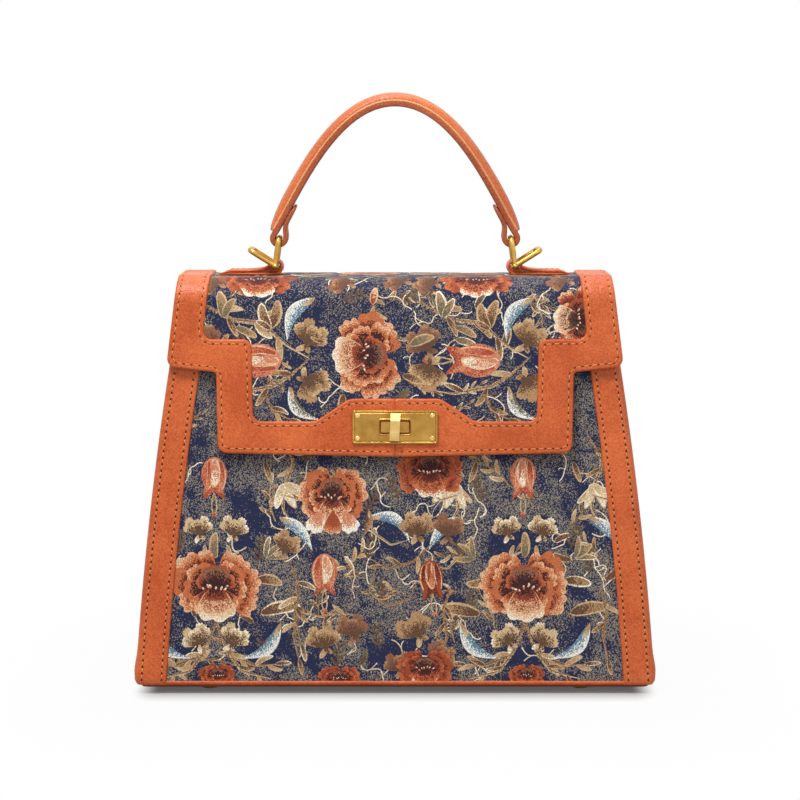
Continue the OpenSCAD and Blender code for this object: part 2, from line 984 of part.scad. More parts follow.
// V-shaped ring: one limb holds the handle, one takes a strap, the middle bar sits in the tab
module ring_right() {
    color("#b98f45")
        translate([ring_x, 0, ring_z]) {
            rotate([0, -handle_limb_angle, 0])
                ring_loop(handle_limb);
            rotate([0, -strap_limb_angle, 0])
                ring_loop(strap_limb);
            rotate([90, 0, 0])
                cylinder(r = bar_r, h = 2 * (ring_half + bar_r), center = true);
        }
}

module ring_left() {
    mirror([1, 0, 0])
        ring_right();
}

// Leather tab on the flap's top: a loop round the ring's middle bar and a stitched-down end
module tab_right() {
    hw = tab_w / 2;
    neck = ring_x + 2 * tab_loop_r;
    color("#c8602e")
        union() {
            translate([0, 0, flap_top])
                linear_extrude(tab_t)
                    polygon(rounded([
                        [neck - 1, -hw, 0], [tab_end - tab_taper, -hw, 4], [tab_end, -tab_nose, 2],
                        [tab_end, tab_nose, 2], [tab_end - tab_taper, hw, 4], [neck - 1, hw, 0]
                    ]));
            rotate([90, 0, 0])
                linear_extrude(tab_w, center = true)
                    difference() {
                        union() {
                            translate([ring_x, tab_loop_z])
                                circle(tab_loop_r);
                            polygon([
                                [ring_x, flap_top], [neck, flap_top], [neck, flap_top + tab_t],
                                [ring_x + 0.5 * tab_loop_r, tab_loop_z + 0.85 * tab_loop_r], [ring_x, tab_loop_z]
                            ]);
                        }
                        translate([ring_x, tab_loop_z])
                            circle(tab_hole_r);
                    }
        }
}

module tab_left() {
    mirror([1, 0, 0])
        tab_right();
}

front_panel();
back_panel();
gusset_left();
gusset_right();
front_strip_left();
front_strip_right();
back_strip_left();
back_strip_right();
base_panel();
base_band();
base_board();
facing_front();
facing_back();
lining_front();
lining_back();
lining_left();
lining_right();
lining_floor();
foot_front_left();
foot_front_right();
foot_back_left();
foot_back_right();
foot_washers();
flap_panel();
flap_trim_left();
flap_trim_right();
flap_lining();
flap_seam();
lock_plate();
lock_screws();
lock_backing();
lock_base();
lock_toggle();
handle_strap();
handle_pad();
handle_core();
ring_left();
ring_right();
tab_left();
tab_right();
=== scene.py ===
# %% [markdown]
# # A floral cloth bag with a tan leather flap
# The real bag is a small top-handle bag: flower cloth on its walls, tan leather along its edges, aged brass fittings.
# Its solid shapes come from CAD. This lesson gives them their visible surfaces, built from points and node groups in
# Python, so that every step can be read, changed and run again.
# Sizes here are millimetres; they become metres when a mesh is made.

# %% Load the frame
import math
import random
import bmesh
import bpy
import numpy as np
from mathutils.geometry import delaunay_2d_cdt
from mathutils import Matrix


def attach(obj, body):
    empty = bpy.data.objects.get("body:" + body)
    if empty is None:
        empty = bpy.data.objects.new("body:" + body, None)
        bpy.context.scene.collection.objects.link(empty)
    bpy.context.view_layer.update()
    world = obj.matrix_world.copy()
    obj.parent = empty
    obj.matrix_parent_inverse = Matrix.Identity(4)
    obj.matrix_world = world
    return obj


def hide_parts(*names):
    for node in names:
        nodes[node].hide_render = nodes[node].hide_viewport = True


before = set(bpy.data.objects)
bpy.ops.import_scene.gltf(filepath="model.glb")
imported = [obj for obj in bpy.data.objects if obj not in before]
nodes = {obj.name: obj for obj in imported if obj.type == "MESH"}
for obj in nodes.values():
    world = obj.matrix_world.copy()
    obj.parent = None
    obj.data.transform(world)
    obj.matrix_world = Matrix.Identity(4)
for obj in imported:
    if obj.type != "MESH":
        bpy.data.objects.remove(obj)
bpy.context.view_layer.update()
print("CAD pieces:", len(nodes))

# %% [markdown]
# ## Sizes shared with the CAD
# The front and back of the bag are stiff walls that lean towards each other. Points on them could be given in x, y and
# z, but then every piece would have to work out the slope again. So a point is (u, v, w), across, up the wall and out
# from it, and one function turns that into space.

# %% Sizes of the body
WALL_Z, MOUTH_Z = 7.0, 206.0
BASE_HALF_W, BASE_HALF_D, MOUTH_HALF_D = 140, 57.0, 32.0
SIDE_TAPER, SIDE_CURVE = 0.062, 0.00027
LEAN = math.atan2(BASE_HALF_D - MOUTH_HALF_D, MOUTH_Z - WALL_Z)
SIN, COS = math.sin(LEAN), math.cos(LEAN)


def half_w(z):
    """Half the bag's width at a height."""
    return BASE_HALF_W - SIDE_TAPER * (z - WALL_Z) - SIDE_CURVE * (z - WALL_Z) ** 2


def half_d(z):
    """Half the bag's depth at a height."""
    return BASE_HALF_D - (BASE_HALF_D - MOUTH_HALF_D) * (z - WALL_Z) / (MOUTH_Z - WALL_Z)


def wall(u, v, w, back=False):
    """Points on the front wall, or mirrored onto the back."""
    y = -BASE_HALF_D + v * SIN - w * COS
    z = WALL_Z + v * COS + w * SIN
    return np.stack(np.broadcast_arrays(u, -y if back else y, z), -1).astype(float)


print("the walls lean by", round(math.degrees(LEAN), 1), "degrees")

# %% [markdown]
# ## The flap's surface
# The flap is sewn to the back, bends over the top and hangs down the front. It could be modelled flat and bent by a
# modifier, but its layers must keep the CAD's exact bend. So it has its own surface (u, s, w): s runs from the middle
# of the top, forward for negative values and backward for positive ones.

# %% Flap surface
LAY_TRIM, TRIM_MID, LEATHER = 4.2, 4.9, 1.4
BEND_R, BEND_Z = 14.0, 208.5
FLAP_TOP = BEND_Z + BEND_R
TOP_RUN = half_d(BEND_Z) - (BEND_R - LAY_TRIM) / COS
BEND_TURN = math.pi / 2 - LEAN
BEND_END = TOP_RUN + BEND_R * BEND_TURN
BEND_V = (BASE_HALF_D - TOP_RUN) * SIN + (BEND_Z - WALL_Z) * COS


def flap(u, s, w):
    """Points on the flap, w measured out from the walls."""
    u, s, w = np.broadcast_arrays(np.asarray(u, float), s, w)
    q, side = np.abs(s), np.where(s < 0, -1.0, 1.0)
    r = BEND_R + w - LAY_TRIM
    turn = np.clip((q - TOP_RUN) / BEND_R, 0, BEND_TURN)
    down = np.maximum(q - BEND_END, 0)
    y = np.minimum(q, TOP_RUN) + r * np.sin(turn) + down * SIN
    z = BEND_Z + r * np.cos(turn) - down * COS
    return np.stack([u, side * y, z], -1)


def flap_s(z):
    """Distance along the flap from the middle of the top to a height on the wall."""
    v = (z - WALL_Z - TRIM_MID * SIN) / COS
    return BEND_END + BEND_V - v


def side_u(s, top, slope):
    """Half width of a sloping flap edge at the distance s."""
    z = flap(0.0, s, TRIM_MID)[..., 2]
    return top + slope * np.maximum(0, FLAP_TOP - z)


print("the flap's flat top is", round(2 * TOP_RUN, 1), "mm deep")

# %% [markdown]
# ## Outlines
# A leather worker cuts every piece along an outline. Blender's curves could hold them, but the leather and the cloth
# also need to know which points lie inside and how far from the edge, so outlines are plain rows of points.

# %% Outlines with round corners
FOUR_CORNERS = ((1, 1), (-1, 1), (-1, -1), (1, -1))


def rounded(path, steps=6):
    """Closed outline from corners (x, y, radius)."""
    out, n = [], len(path)
    for i in range(n):
        a, b, c = (np.array(path[(i + k) % n][:2], float) for k in (-1, 0, 1))
        r = path[i][2]
        if r <= 0:
            out.append(b)
            continue
        p, q = (a - b) / np.linalg.norm(a - b), (c - b) / np.linalg.norm(c - b)
        half = math.acos(np.clip(p @ q, -1, 1)) / 2
        o = b + (p + q) / np.linalg.norm(p + q) * r / math.sin(half)
        s, e = b + p * r / math.tan(half) - o, b + q * r / math.tan(half) - o
        start = math.atan2(s[1], s[0])
        by = (math.atan2(e[1], e[0]) - start + math.pi) % (2 * math.pi) - math.pi
        for k in range(steps + 1):
            t = start + by * k / steps
            out.append(o + r * np.array([math.cos(t), math.sin(t)]))
    return np.array(out)


def round_box(half_x, half_y, r, steps=6):
    """Rectangle with round corners."""
    return rounded([(x * half_x, y * half_y, r) for x, y in FOUR_CORNERS], steps)


def spaced(line, step, closed=True):
    """The same line with points an even step apart."""
    pts = np.vstack([line, line[:1]]) if closed else np.asarray(line, float)
    d = np.r_[0, np.cumsum(np.linalg.norm(np.diff(pts, axis=0), axis=1))]
    n = max(3, int(round(d[-1] / step)))
    t = np.linspace(0, d[-1], n + 1)
    t = t[:-1] if closed else t
    return np.stack([np.interp(t, d, pts[:, k]) for k in range(pts.shape[1])], -1)


print("a square with round corners has", len(round_box(5, 5, 1)), "points")


# %% Inside, distance and offset
def inside(p, poly):
    """True for the points of p inside the outline."""
    x, y = p[:, 0], p[:, 1]
    hit = np.zeros(len(p), bool)
    for (x0, y0), (x1, y1) in zip(poly, np.roll(poly, -1, 0)):
        if y0 == y1:
            continue
        cross = (y0 > y) != (y1 > y)
        hit ^= cross & (x < (x1 - x0) * (y - y0) / (y1 - y0) + x0)
    return hit


def gap_to(p, line):
    """Distance from each point of p to a closed line."""
    best = np.full(len(p), 1e9)
    for p0, p1 in zip(line, np.roll(line, -1, 0)):
        d = p1 - p0
        t = np.clip(((p - p0) @ d) / max(d @ d, 1e-9), 0, 1)
        best = np.minimum(best, np.linalg.norm(p - p0 - t[:, None] * d, axis=1))
    return best


def normals_in(line):
    """Normals of a closed line that point inside it."""
    d = np.roll(line, -1, 0) - np.roll(line, 1, 0)
    d /= np.linalg.norm(d, axis=1)[:, None]
    n = np.stack([-d[:, 1], d[:, 0]], -1)
    area = np.sum(line[:, 0] * np.roll(line[:, 1], -1) - np.roll(line[:, 0], -1) * line[:, 1])
    return n if area > 0 else -n


def offset(line, d):
    """A closed line moved inside by d."""
    return line + d * normals_in(line)


print("a 10 mm square moved in by 1 mm is", np.ptp(offset(spaced(round_box(5, 5, 1), 0.5), 1.0)[:, 0]).round(1), "mm wide")


# %% Nets of triangles
def triangles(points, loops):
    """Triangles over the points that keep the loops as edges: (points, triangles)."""
    verts = [tuple(p) for p in points]
    edges = []
    for loop in loops:
        first = len(verts)
        verts += [tuple(p) for p in loop]
        edges += [(first + i, first + (i + 1) % len(loop)) for i in range(len(loop))]
    out, _, faces, *_ = delaunay_2d_cdt(verts, edges, [], 0, 1e-5, False)
    return np.array([(p[0], p[1]) for p in out]), np.array([tuple(f) for f in faces])


def spread_points(outline, step):
    """A square spread of points over the box round an outline."""
    low, high = outline.min(0), outline.max(0)
    gx, gy = np.meshgrid(np.arange(low[0], high[0], step), np.arange(low[1], high[1], step))
    return np.stack([gx.ravel(), gy.ravel()], -1)


print("a square with round corners takes", len(triangles([], [round_box(5, 5, 1)])[1]), "triangles")

# %% [markdown]
# ## Meshes
# Every visible piece becomes a mesh object of its own, as every piece of the bag is cut on its own. Primitives and
# booleans would be quick, but sewn leather has no plain boxes. So meshes come straight from rows of points, and each
# piece then rides on a CAD body, and the CAD piece it stands for is hidden.

# %% Mesh helpers
MM = 0.001


def mesh_object(name, points, faces, material, body="bag", smooth=True):
    """A mesh object in the shared frame that rides on a body."""
    name = name.replace(" ", "_")
    mesh = bpy.data.meshes.new(name)
    mesh.from_pydata([tuple(p) for p in np.asarray(points) * MM], [], [tuple(map(int, f)) for f in faces])
    mesh.polygons.foreach_set("use_smooth", [smooth] * len(mesh.polygons))
    mesh.materials.append(material)
    obj = bpy.data.objects.new(name, mesh)
    bpy.context.scene.collection.objects.link(obj)
    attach(obj, body)
    print("made", name, "with", len(mesh.polygons), "faces on", body)
    return obj


def faced_out(obj):
    """Turns every face of a closed mesh outward."""
    bm = bmesh.new()
    bm.from_mesh(obj.data)
    bmesh.ops.recalc_face_normals(bm, faces=bm.faces)
    bm.to_mesh(obj.data)
    bm.free()
    return obj


def stand_in(obj, node):
    """Hides the CAD node that a piece stands for."""
    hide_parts(node)
    return obj


# %% Faces over rows of points
def grid_faces(rows, cols, wrap_rows=False, wrap_cols=False):
    """Quads of a grid of points."""
    out = []
    for i in range(rows if wrap_rows else rows - 1):
        for j in range(cols if wrap_cols else cols - 1):
            a, b = i * cols + j, i * cols + (j + 1) % cols
            c, d = ((i + 1) % rows) * cols + (j + 1) % cols, ((i + 1) % rows) * cols + j
            out.append((a, b, c, d))
    return out


def closed_faces(tris, n):
    """Faces of a closed piece whose top and underside share one net of triangles over n points."""
    sides = {(int(t[i]), int(t[(i + 1) % 3])) for t in tris for i in range(3)}
    faces = [tuple(t) for t in tris] + [tuple(n + t[::-1]) for t in tris]
    return faces + [(b, a, n + a, n + b) for a, b in sides if (b, a) not in sides]


def capped(name, rings, material, body="bag"):
    """A closed piece through rings of points, with both ends closed."""
    pts = np.asarray(rings, float)
    n, k = pts.shape[:2]
    faces = grid_faces(n, k, wrap_cols=True)
    faces += [tuple(range(k))[::-1], tuple((n - 1) * k + i for i in range(k))]
    return faced_out(mesh_object(name, pts.reshape(-1, 3), faces, material, body))


print("a tube of 5 rings of 6 points has", len(grid_faces(5, 6, wrap_cols=True)), "quads")

# %% [markdown]
# ## Colours and node helpers
# A dyer names a colour by how it looks, and a hex code does the same on a screen; Blender wants linear light, so codes
# are converted. Nodes could be placed by hand in the editor, but a script repeats exactly, and a small class keeps each
# node to one line.


# %% Node helpers
def linear(code):
    """Linear colour from a hex code."""
    c = np.array([int(code[i:i + 2], 16) for i in (1, 3, 5)]) / 255
    c = np.where(c <= 0.04045, c / 12.92, ((c + 0.055) / 1.055) ** 2.4)
    return (*c, 1.0)


class Graph:
    """Short ways to add nodes to a tree and to feed their sockets."""

    def __init__(self, tree):
        self.tree = tree

    def feed(self, node, **values):
        """Links or sets sockets, which are named with _ for a space, or i0, i1 and so on by place."""
        for key, value in values.items():
            by_place = key[0] == "i" and key[1:].isdigit()
            socket = node.inputs[int(key[1:]) if by_place else key.replace("_", " ")]
            if isinstance(value, bpy.types.NodeSocket):
                self.tree.links.new(value, socket)
            else:
                socket.default_value = value

    def add(self, kind, settings=None, **values):
        node = self.tree.nodes.new(kind)
        for key, value in (settings or {}).items():
            setattr(node, key, value)
        self.feed(node, **values)
        return node

    def math(self, kind, a, b=0.0):
        return self.add("ShaderNodeMath", {"operation": kind}, i0=a, i1=b).outputs[0]

    def blend(self, a, share_a, b, share_b):
        return self.math("ADD", self.math("MULTIPLY", a, share_a), self.math("MULTIPLY", b, share_b))

    def mix(self, factor, a, b):
        return self.add("ShaderNodeMix", {"data_type": "RGBA"}, i0=factor, i6=a, i7=b).outputs[2]

    def ramp(self, value, low, high, out_low=0.0, out_high=1.0):
        return self.add("ShaderNodeMapRange", None, i0=value, i1=low, i2=high, i3=out_low, i4=out_high).outputs[0]

    def noise(self, place, scale, detail, settings=None, **more):
        return self.add("ShaderNodeTexNoise", settings, Vector=place, Scale=scale, Detail=detail, **more).outputs[0]

    def bump(self, height, strength, distance):
        return self.add("ShaderNodeBump", None, Height=height, Strength=strength, Distance=distance).outputs[0]


print("white in linear light:", linear("#ffffff"))

# %% Groups and materials
FLOAT, VECTOR = "NodeSocketFloat", "NodeSocketVector"


def effect(name, inputs, outputs):
    """An empty node group with the given sockets: (group, graph, input node, output node)."""
    tree = bpy.data.node_groups.new(name, "ShaderNodeTree")
    for label, kind, value in inputs:
        socket = tree.interface.new_socket(label, in_out="INPUT", socket_type=kind)
        if value is not None:
            socket.default_value = value
    for label, kind in outputs:
        tree.interface.new_socket(label, in_out="OUTPUT", socket_type=kind)
    return tree, Graph(tree), tree.nodes.new("NodeGroupInput"), tree.nodes.new("NodeGroupOutput")


def material(name):
    """An empty material: (material, graph, principled shader)."""
    mat = bpy.data.materials.new(name)
    mat.use_nodes = True
    return mat, Graph(mat.node_tree), mat.node_tree.nodes["Principled BSDF"]


print("materials from the frame:", len(bpy.data.materials))

# %% [markdown]
# ## Effect: leather grain
# Tanned hide is covered in tiny pebbles with darker creases, and it takes dye unevenly. A photo texture would show it,
# but it would need unwrapping and would repeat. Cells and noise in object space never repeat, and as a group they
# serve every leather of the bag.

# %% Leather grain
GRAIN_SCALE, GRAIN_TONE = 1000.0, 0.13
grain, g, into, out = effect("leather grain", [("Scale", FLOAT, 1.0)], [("Tone", FLOAT), ("Normal", VECTOR)])
place = g.add("ShaderNodeTexCoord").outputs["Object"]
cells = g.add("ShaderNodeTexVoronoi", {"feature": "F1"}, Vector=place, Randomness=1.0,
              Scale=g.math("MULTIPLY", into.outputs["Scale"], GRAIN_SCALE)).outputs["Distance"]
fine = g.noise(place, 1400.0, 3.0)
broad = g.noise(place, 28.0, 4.0, Roughness=0.6)
speck = g.noise(place, 260.0, 3.0)
pebbles = g.math("SUBTRACT", g.math("MULTIPLY", fine, 0.35), cells)
patches = g.blend(broad, 0.75, speck, 0.25)
g.feed(out, Tone=g.math("ADD", patches, g.ramp(cells, 0.1, 0.7, GRAIN_TONE, -GRAIN_TONE)),
       Normal=g.bump(pebbles, 0.5, 0.0003))
print("grain nodes:", len(grain.nodes))

# %% [markdown]
# ## Effect: woven threads
# In the real cloth a colour fades into the next one thread by thread, as specks. A smooth mix of two colours would look
# printed. So the cloth is divided into thread-sized cells, each cell draws a random number, and the number decides
# which of two dyes it shows. The same cells give the cloth its small humps.

# %% Woven threads
ACROSS_PER_MM, ALONG_PER_MM = 2.5, 2.2
weave, g, into, out = effect("woven threads", [("Place", VECTOR, None), ("Fade", FLOAT, 0.5)],
                             [("Mask", FLOAT), ("Normal", VECTOR), ("Tone", FLOAT)])
split = g.add("ShaderNodeSeparateXYZ", None, i0=into.outputs["Place"])
across = g.math("MULTIPLY", split.outputs[0], ACROSS_PER_MM)
along = g.math("MULTIPLY", split.outputs[1], ALONG_PER_MM)
column = g.math("FLOOR", across)
shifted = g.math("ADD", along, g.math("MULTIPLY", column, 0.5))
cell = g.add("ShaderNodeCombineXYZ", None, i0=column, i1=g.math("FLOOR", shifted)).outputs[0]
chance = g.add("ShaderNodeTexWhiteNoise", {"noise_dimensions": "2D"}, Vector=cell).outputs[0]
cloud = g.noise(into.outputs["Place"], 0.55, 2.0, {"noise_dimensions": "2D"})
luck = g.blend(chance, 0.9, cloud, 0.1)
hump = g.math("MULTIPLY", g.math("PINGPONG", across, 0.5), g.math("PINGPONG", shifted, 0.5))
shade = g.add("ShaderNodeTexWhiteNoise", {"noise_dimensions": "3D"}, Vector=cell).outputs[0]
g.feed(out, Mask=g.ramp(g.math("SUBTRACT", into.outputs["Fade"], luck), -0.05, 0.05),
       Normal=g.bump(g.math("MULTIPLY", hump, 4.0), 0.5, 0.00025), Tone=g.ramp(shade, 0.0, 1.0, 0.68, 1.2))
print("weave nodes:", len(weave.nodes))

# %% [markdown]
# ## Effect: metal wear
# The brass is plated, brushed and a little tarnished: its colour drifts, and fine brush marks blur its reflections.
# A single roughness would look like plastic. Slow noise drives the colour, noise stretched along one direction makes
# the brush marks, and both together vary the roughness.

# %% Metal wear
BRUSH_STRETCH = (900.0, 5000.0, 9000.0)
wear, g, into, out = effect("metal wear", [("Scale", FLOAT, 1.0)],
                            [("Tone", FLOAT), ("Rough", FLOAT), ("Normal", VECTOR)])
place = g.add("ShaderNodeTexCoord").outputs["Object"]
cloud = g.noise(place, g.math("MULTIPLY", into.outputs["Scale"], 160.0), 4.0)
stretched = g.add("ShaderNodeMapping", None, Vector=place, Scale=BRUSH_STRETCH).outputs[0]
brush = g.noise(stretched, 1.0, 2.0)
g.feed(out, Tone=cloud, Rough=g.ramp(g.blend(cloud, 0.6, brush, 0.4), 0.3, 0.7, 0.2, 0.42),
       Normal=g.bump(brush, 0.12, 0.00005))
print("effects:", len(bpy.data.node_groups))

# %% [markdown]
# ## Leather
# The trim is a waxed tan leather; the handle's strap is darker, partly from its edge paint and partly as painted shade,
# its welt is pale, partly as the leather's edge and partly as a painted highlight, the base's dark leather is painted
# shade, and the facing shows the rough flesh side. One material with a colour for each piece would need drivers or
# attributes; a function that makes a material from two tones is simpler, and each tone can be tuned against its own
# piece.


# %% Leather materials
def leather_material(name, light, dark, rough=0.37, scale=1.0):
    """Waxed leather between two tones."""
    mat, g, shader = material(name)
    skin = g.add("ShaderNodeGroup", {"node_tree": grain}, Scale=scale)
    tone = skin.outputs["Tone"]
    g.feed(shader, Base_Color=g.mix(g.ramp(tone, 0.3, 0.7), linear(dark), linear(light)),
           Roughness=g.ramp(tone, 0.3, 0.7, rough + 0.08, rough - 0.05),
           Normal=skin.outputs["Normal"], Specular_IOR_Level=0.42)
    return mat


TAN = leather_material("tan leather", "#e4723a", "#ba4e1b")
TAN_PAD = leather_material("tan handle leather", "#e07b45", "#bf5f30", 0.36)
# Darker strap leather: partly its edge paint, partly painted shade under the pad and inside the tab folds.
TAN_STRAP_SHADE = leather_material("tan strap leather with painted shade", "#bf633a", "#9a4826", 0.4)
# Base leather: its darker tone is painted shade under the bag, where it faces the floor.
TAN_SHADE = leather_material("leather with painted shade", "#94441f", "#733216", 0.5)
# Pale welt leather: partly the leather's pale edge, partly a painted highlight along the pad's seams.
TAN_EDGE_HIGHLIGHT = leather_material("pale leather edge with painted highlight", "#f0a878", "#dd8a58", 0.5)
TAN_INNER = leather_material("leather flesh side", "#a5704a", "#875535", 0.75, 0.7)
print("leathers:", sum("leather" in m.name for m in bpy.data.materials))

# %% [markdown]
# ## Cloth
# The flower cloth is matte with a faint sheen from its fibres. Its picture could be an image, but then close views
# would blur. The mesh carries two dyes and a fade at each corner instead, and the material turns them into threads.


# %% Cloth material
def cloth_material():
    """Two dyes mixed thread by thread."""
    mat, g, shader = material("woven flower cloth")
    dye_a, dye_b = (g.add("ShaderNodeAttribute", {"attribute_name": k}).outputs["Color"] for k in ("dye_a", "dye_b"))
    where = g.add("ShaderNodeAttribute", {"attribute_name": "thread"}).outputs["Vector"]
    fade = g.add("ShaderNodeSeparateXYZ", None, i0=where).outputs[2]
    threads = g.add("ShaderNodeGroup", {"node_tree": weave}, Place=where, Fade=fade)
    colour = g.mix(threads.outputs["Mask"], dye_b, dye_a)
    shaded = g.add("ShaderNodeVectorMath", {"operation": "SCALE"}, i0=colour, Scale=threads.outputs["Tone"])
    g.feed(shader, Base_Color=shaded.outputs[0], Normal=threads.outputs["Normal"], Roughness=0.72,
           Specular_IOR_Level=0.25, Sheen_Weight=0.12, Sheen_Roughness=0.5)
    return mat


CLOTH = cloth_material()
print("cloth nodes:", len(CLOTH.node_tree.nodes))

# %% [markdown]
# ## Thread, lining and board
# Sewing thread, lining cloth and board are plain stuffs, matte and slightly uneven. Each could have a weave of its own,
# but they show as thin lines or not at all, so fine noise in two tones and a light bump are enough.


# %% Plain materials
def plain_material(name, light, dark, rough, scale=400.0):
    """A matte stuff with slight unevenness."""
    mat, g, shader = material(name)
    spots = g.noise(g.add("ShaderNodeTexCoord").outputs["Object"], scale, 3.0)
    g.feed(shader, Base_Color=g.mix(g.ramp(spots, 0.3, 0.7), linear(dark), linear(light)),
           Normal=g.bump(spots, 0.3, 0.0002), Roughness=rough)
    return mat


THREAD = plain_material("waxed thread", "#ee9a4c", "#cf7430", 0.6, 2500.0)
# Needle holes: a dark colour that paints the shade inside each hole.
HOLE_SHADE = plain_material("needle hole", "#4a1a0c", "#2f1008", 0.85, 2500.0)
LINING = plain_material("lining cloth", "#b39a78", "#917a5c", 0.85, 1500.0)
BOARD = plain_material("stiff board", "#5a5048", "#463d36", 0.8)
CORE = plain_material("core cord", "#d8c9a8", "#bfae8a", 0.9, 900.0)
print("plain stuffs:", [m.name for m in (THREAD, HOLE_SHADE, LINING, BOARD, CORE)])

# %% [markdown]
# ## Brass
# The lock, rings and feet are aged brass. A metal's look is its reflection, so the colour alone can't make it. The
# shader is fully metallic, and the wear group varies colour, roughness and brush marks over it.


# %% Brass materials
def brass_material(name, light, dark, scale=1.0):
    """Aged brass."""
    mat, g, shader = material(name)
    worn = g.add("ShaderNodeGroup", {"node_tree": wear}, Scale=scale)
    g.feed(shader, Base_Color=g.mix(g.ramp(worn.outputs["Tone"], 0.3, 0.75), linear(dark), linear(light)),
           Roughness=worn.outputs["Rough"], Normal=worn.outputs["Normal"], Metallic=1.0)
    return mat


BRASS = brass_material("aged brass", "#c69b50", "#a97d3a")
BRASS_WIRE = brass_material("brass wire", "#e3b95f", "#b98a3c", 0.5)
BRASS_BAR = brass_material("polished brass", "#f0cf8a", "#c99b4e", 0.6)
print("materials:", len(bpy.data.materials))

# %% [markdown]
# ## Leather plates
# A leather piece is cut flat, its edges are pared and rubbed round, and stitching presses a groove beside them. A
# solidify and a bevel modifier would round every edge alike and press no groove. Here the thickness is worked out from
# the distance to the outline, so edge and grooves are real shape.

# %% Leather plate
LINE_STEP, EDGE_RINGS, EDGE_WALL, EDGE_ROUND = 1.4, (0.12, 0.35, 0.65, 1.0), 0.2, 0.8
GROOVE_RINGS, GROOVE_DEEP, GROOVE_WIDE = (-0.7, 0.0, 0.7), 0.16, 0.5
RING_SLACK, UNDERLAP = 0.03, 0.02


def plate(name, outline, surface, base, thick, mat, edge=1.1, rows=(), step=3.0):
    """A rounded leather piece on a surface, with pressed grooves at the given distances from its edge."""
    line = spaced(outline, LINE_STEP)
    rings = [edge * k for k in EDGE_RINGS] + [row + k for row in rows for k in GROOVE_RINGS]
    points = []
    for d in sorted(rings):
        ring = offset(line, d)
        points.append(ring[inside(ring, line) & (gap_to(ring, line) > d - RING_SLACK)])
    spread = spread_points(line, step)
    spread = spread[inside(spread, line)]
    points.append(spread[gap_to(spread, line) > max(rings) + 0.6 * step])
    flat, tris = triangles(np.vstack(points), [line])
    tris = tris[inside(flat[tris].mean(1), line)]
    d = gap_to(flat, line)
    rise = thick * np.sqrt(1 - (1 - np.minimum(d / edge, 1)) ** 2) * EDGE_ROUND + thick * EDGE_WALL
    for row in rows:
        rise -= GROOVE_DEEP * np.exp(-((d - row) / GROOVE_WIDE) ** 2)
    top, under = (surface(flat[:, 0], flat[:, 1], base + w) for w in (rise, -UNDERLAP))
    return faced_out(mesh_object(name, np.vstack([top, under]), closed_faces(tris, len(flat)), mat))


# %% [markdown]
# ## Stitches
# A stitch is a short bar of waxed thread that dips into a needle hole at each end. A dashed texture would look right
# from the front only. Each thread is a small closed mesh that swells in its middle, each hole is a small cone in a dark
# colour that paints the shade in the hole, and one whole row shares two objects, which keeps the scene light.

# %% Stitches
THREAD_R, THREAD_FLAT, THREAD_SHARE, THREAD_SIDES = 0.36, 0.8, 0.66, 6
THREAD_FORM = ((-0.5, 0.25, -0.22), (-0.36, 0.85, 0.02), (0, 1, 0.12), (0.36, 0.85, 0.02), (0.5, 0.25, -0.22))
HOLE_LONG, HOLE_WIDE, HOLE_UP, HOLE_DEEP, HOLE_SIDES = 0.72, 0.56, 0.03, 0.4, 8


class Stitches:
    """Threads and needle holes gathered into two meshes."""

    def __init__(self):
        self.thread, self.thread_faces, self.hole, self.hole_faces = [], [], [], []

    def row(self, line, surface, w, pitch=4.3):
        """Stitches along a line on a surface."""
        marks = spaced(line, pitch, closed=False)
        place = lambda p, up: surface(p[:, 0], p[:, 1], w + up)
        mid = (marks[:-1] + marks[1:]) / 2
        centre, above = place(mid, 0.0), place(mid, 1.0)
        for c, n, a, b in zip(centre, above - centre, place(marks[:-1], 0.0), place(marks[1:], 0.0)):
            run = (b - a) * THREAD_SHARE
            size = np.linalg.norm(run)
            t = run / size
            side = np.cross(n, t)
            self.add_thread(c, t, side, n, size)
            self.add_hole(a, t, side, n)

    def add_thread(self, c, t, side, n, size):
        """One thread round its centre."""
        first = len(self.thread)
        for x, r, lift in THREAD_FORM:
            for k in range(THREAD_SIDES):
                an = 2 * math.pi * k / THREAD_SIDES
                up = lift + r * THREAD_R * THREAD_FLAT * math.sin(an)
                self.thread.append(c + t * (x * size) + side * (r * THREAD_R * math.cos(an)) + n * up)
        faces = grid_faces(len(THREAD_FORM), THREAD_SIDES, wrap_cols=True)
        last = (len(THREAD_FORM) - 1) * THREAD_SIDES
        faces += [tuple(range(THREAD_SIDES))[::-1], tuple(last + k for k in range(THREAD_SIDES))]
        self.thread_faces += [tuple(first + i for i in f) for f in faces]

    def add_hole(self, a, t, side, n):
        """One needle hole where a thread starts."""
        first = len(self.hole)
        for k in range(HOLE_SIDES):
            an = 2 * math.pi * k / HOLE_SIDES
            self.hole.append(a + t * (HOLE_LONG * math.cos(an)) + side * (HOLE_WIDE * math.sin(an)) + n * HOLE_UP)
        self.hole.append(a - n * HOLE_DEEP)
        self.hole_faces.append(tuple(first + k for k in range(HOLE_SIDES)))
        self.hole_faces += [(first + k, first + HOLE_SIDES, first + (k + 1) % HOLE_SIDES) for k in range(HOLE_SIDES)]

    def done(self, name):
        """Makes the two meshes."""
        mesh_object(name + " thread", self.thread, self.thread_faces, THREAD)
        # The holes' dark colour is painted shade in each needle hole.
        mesh_object(name + " needle holes", self.hole, self.hole_faces, HOLE_SHADE, smooth=False)


# %% [markdown]
# ## Flap trim
# The trim is a leather frame with stepped edges, sewn over the edge of the flap's cloth. On the real flap its two
# halves meet in a seam above and below the lock. A single frame with a line drawn on it would be less work, but the
# seam is a real gap, so each half is a plate of its own and one is the mirror of the other.

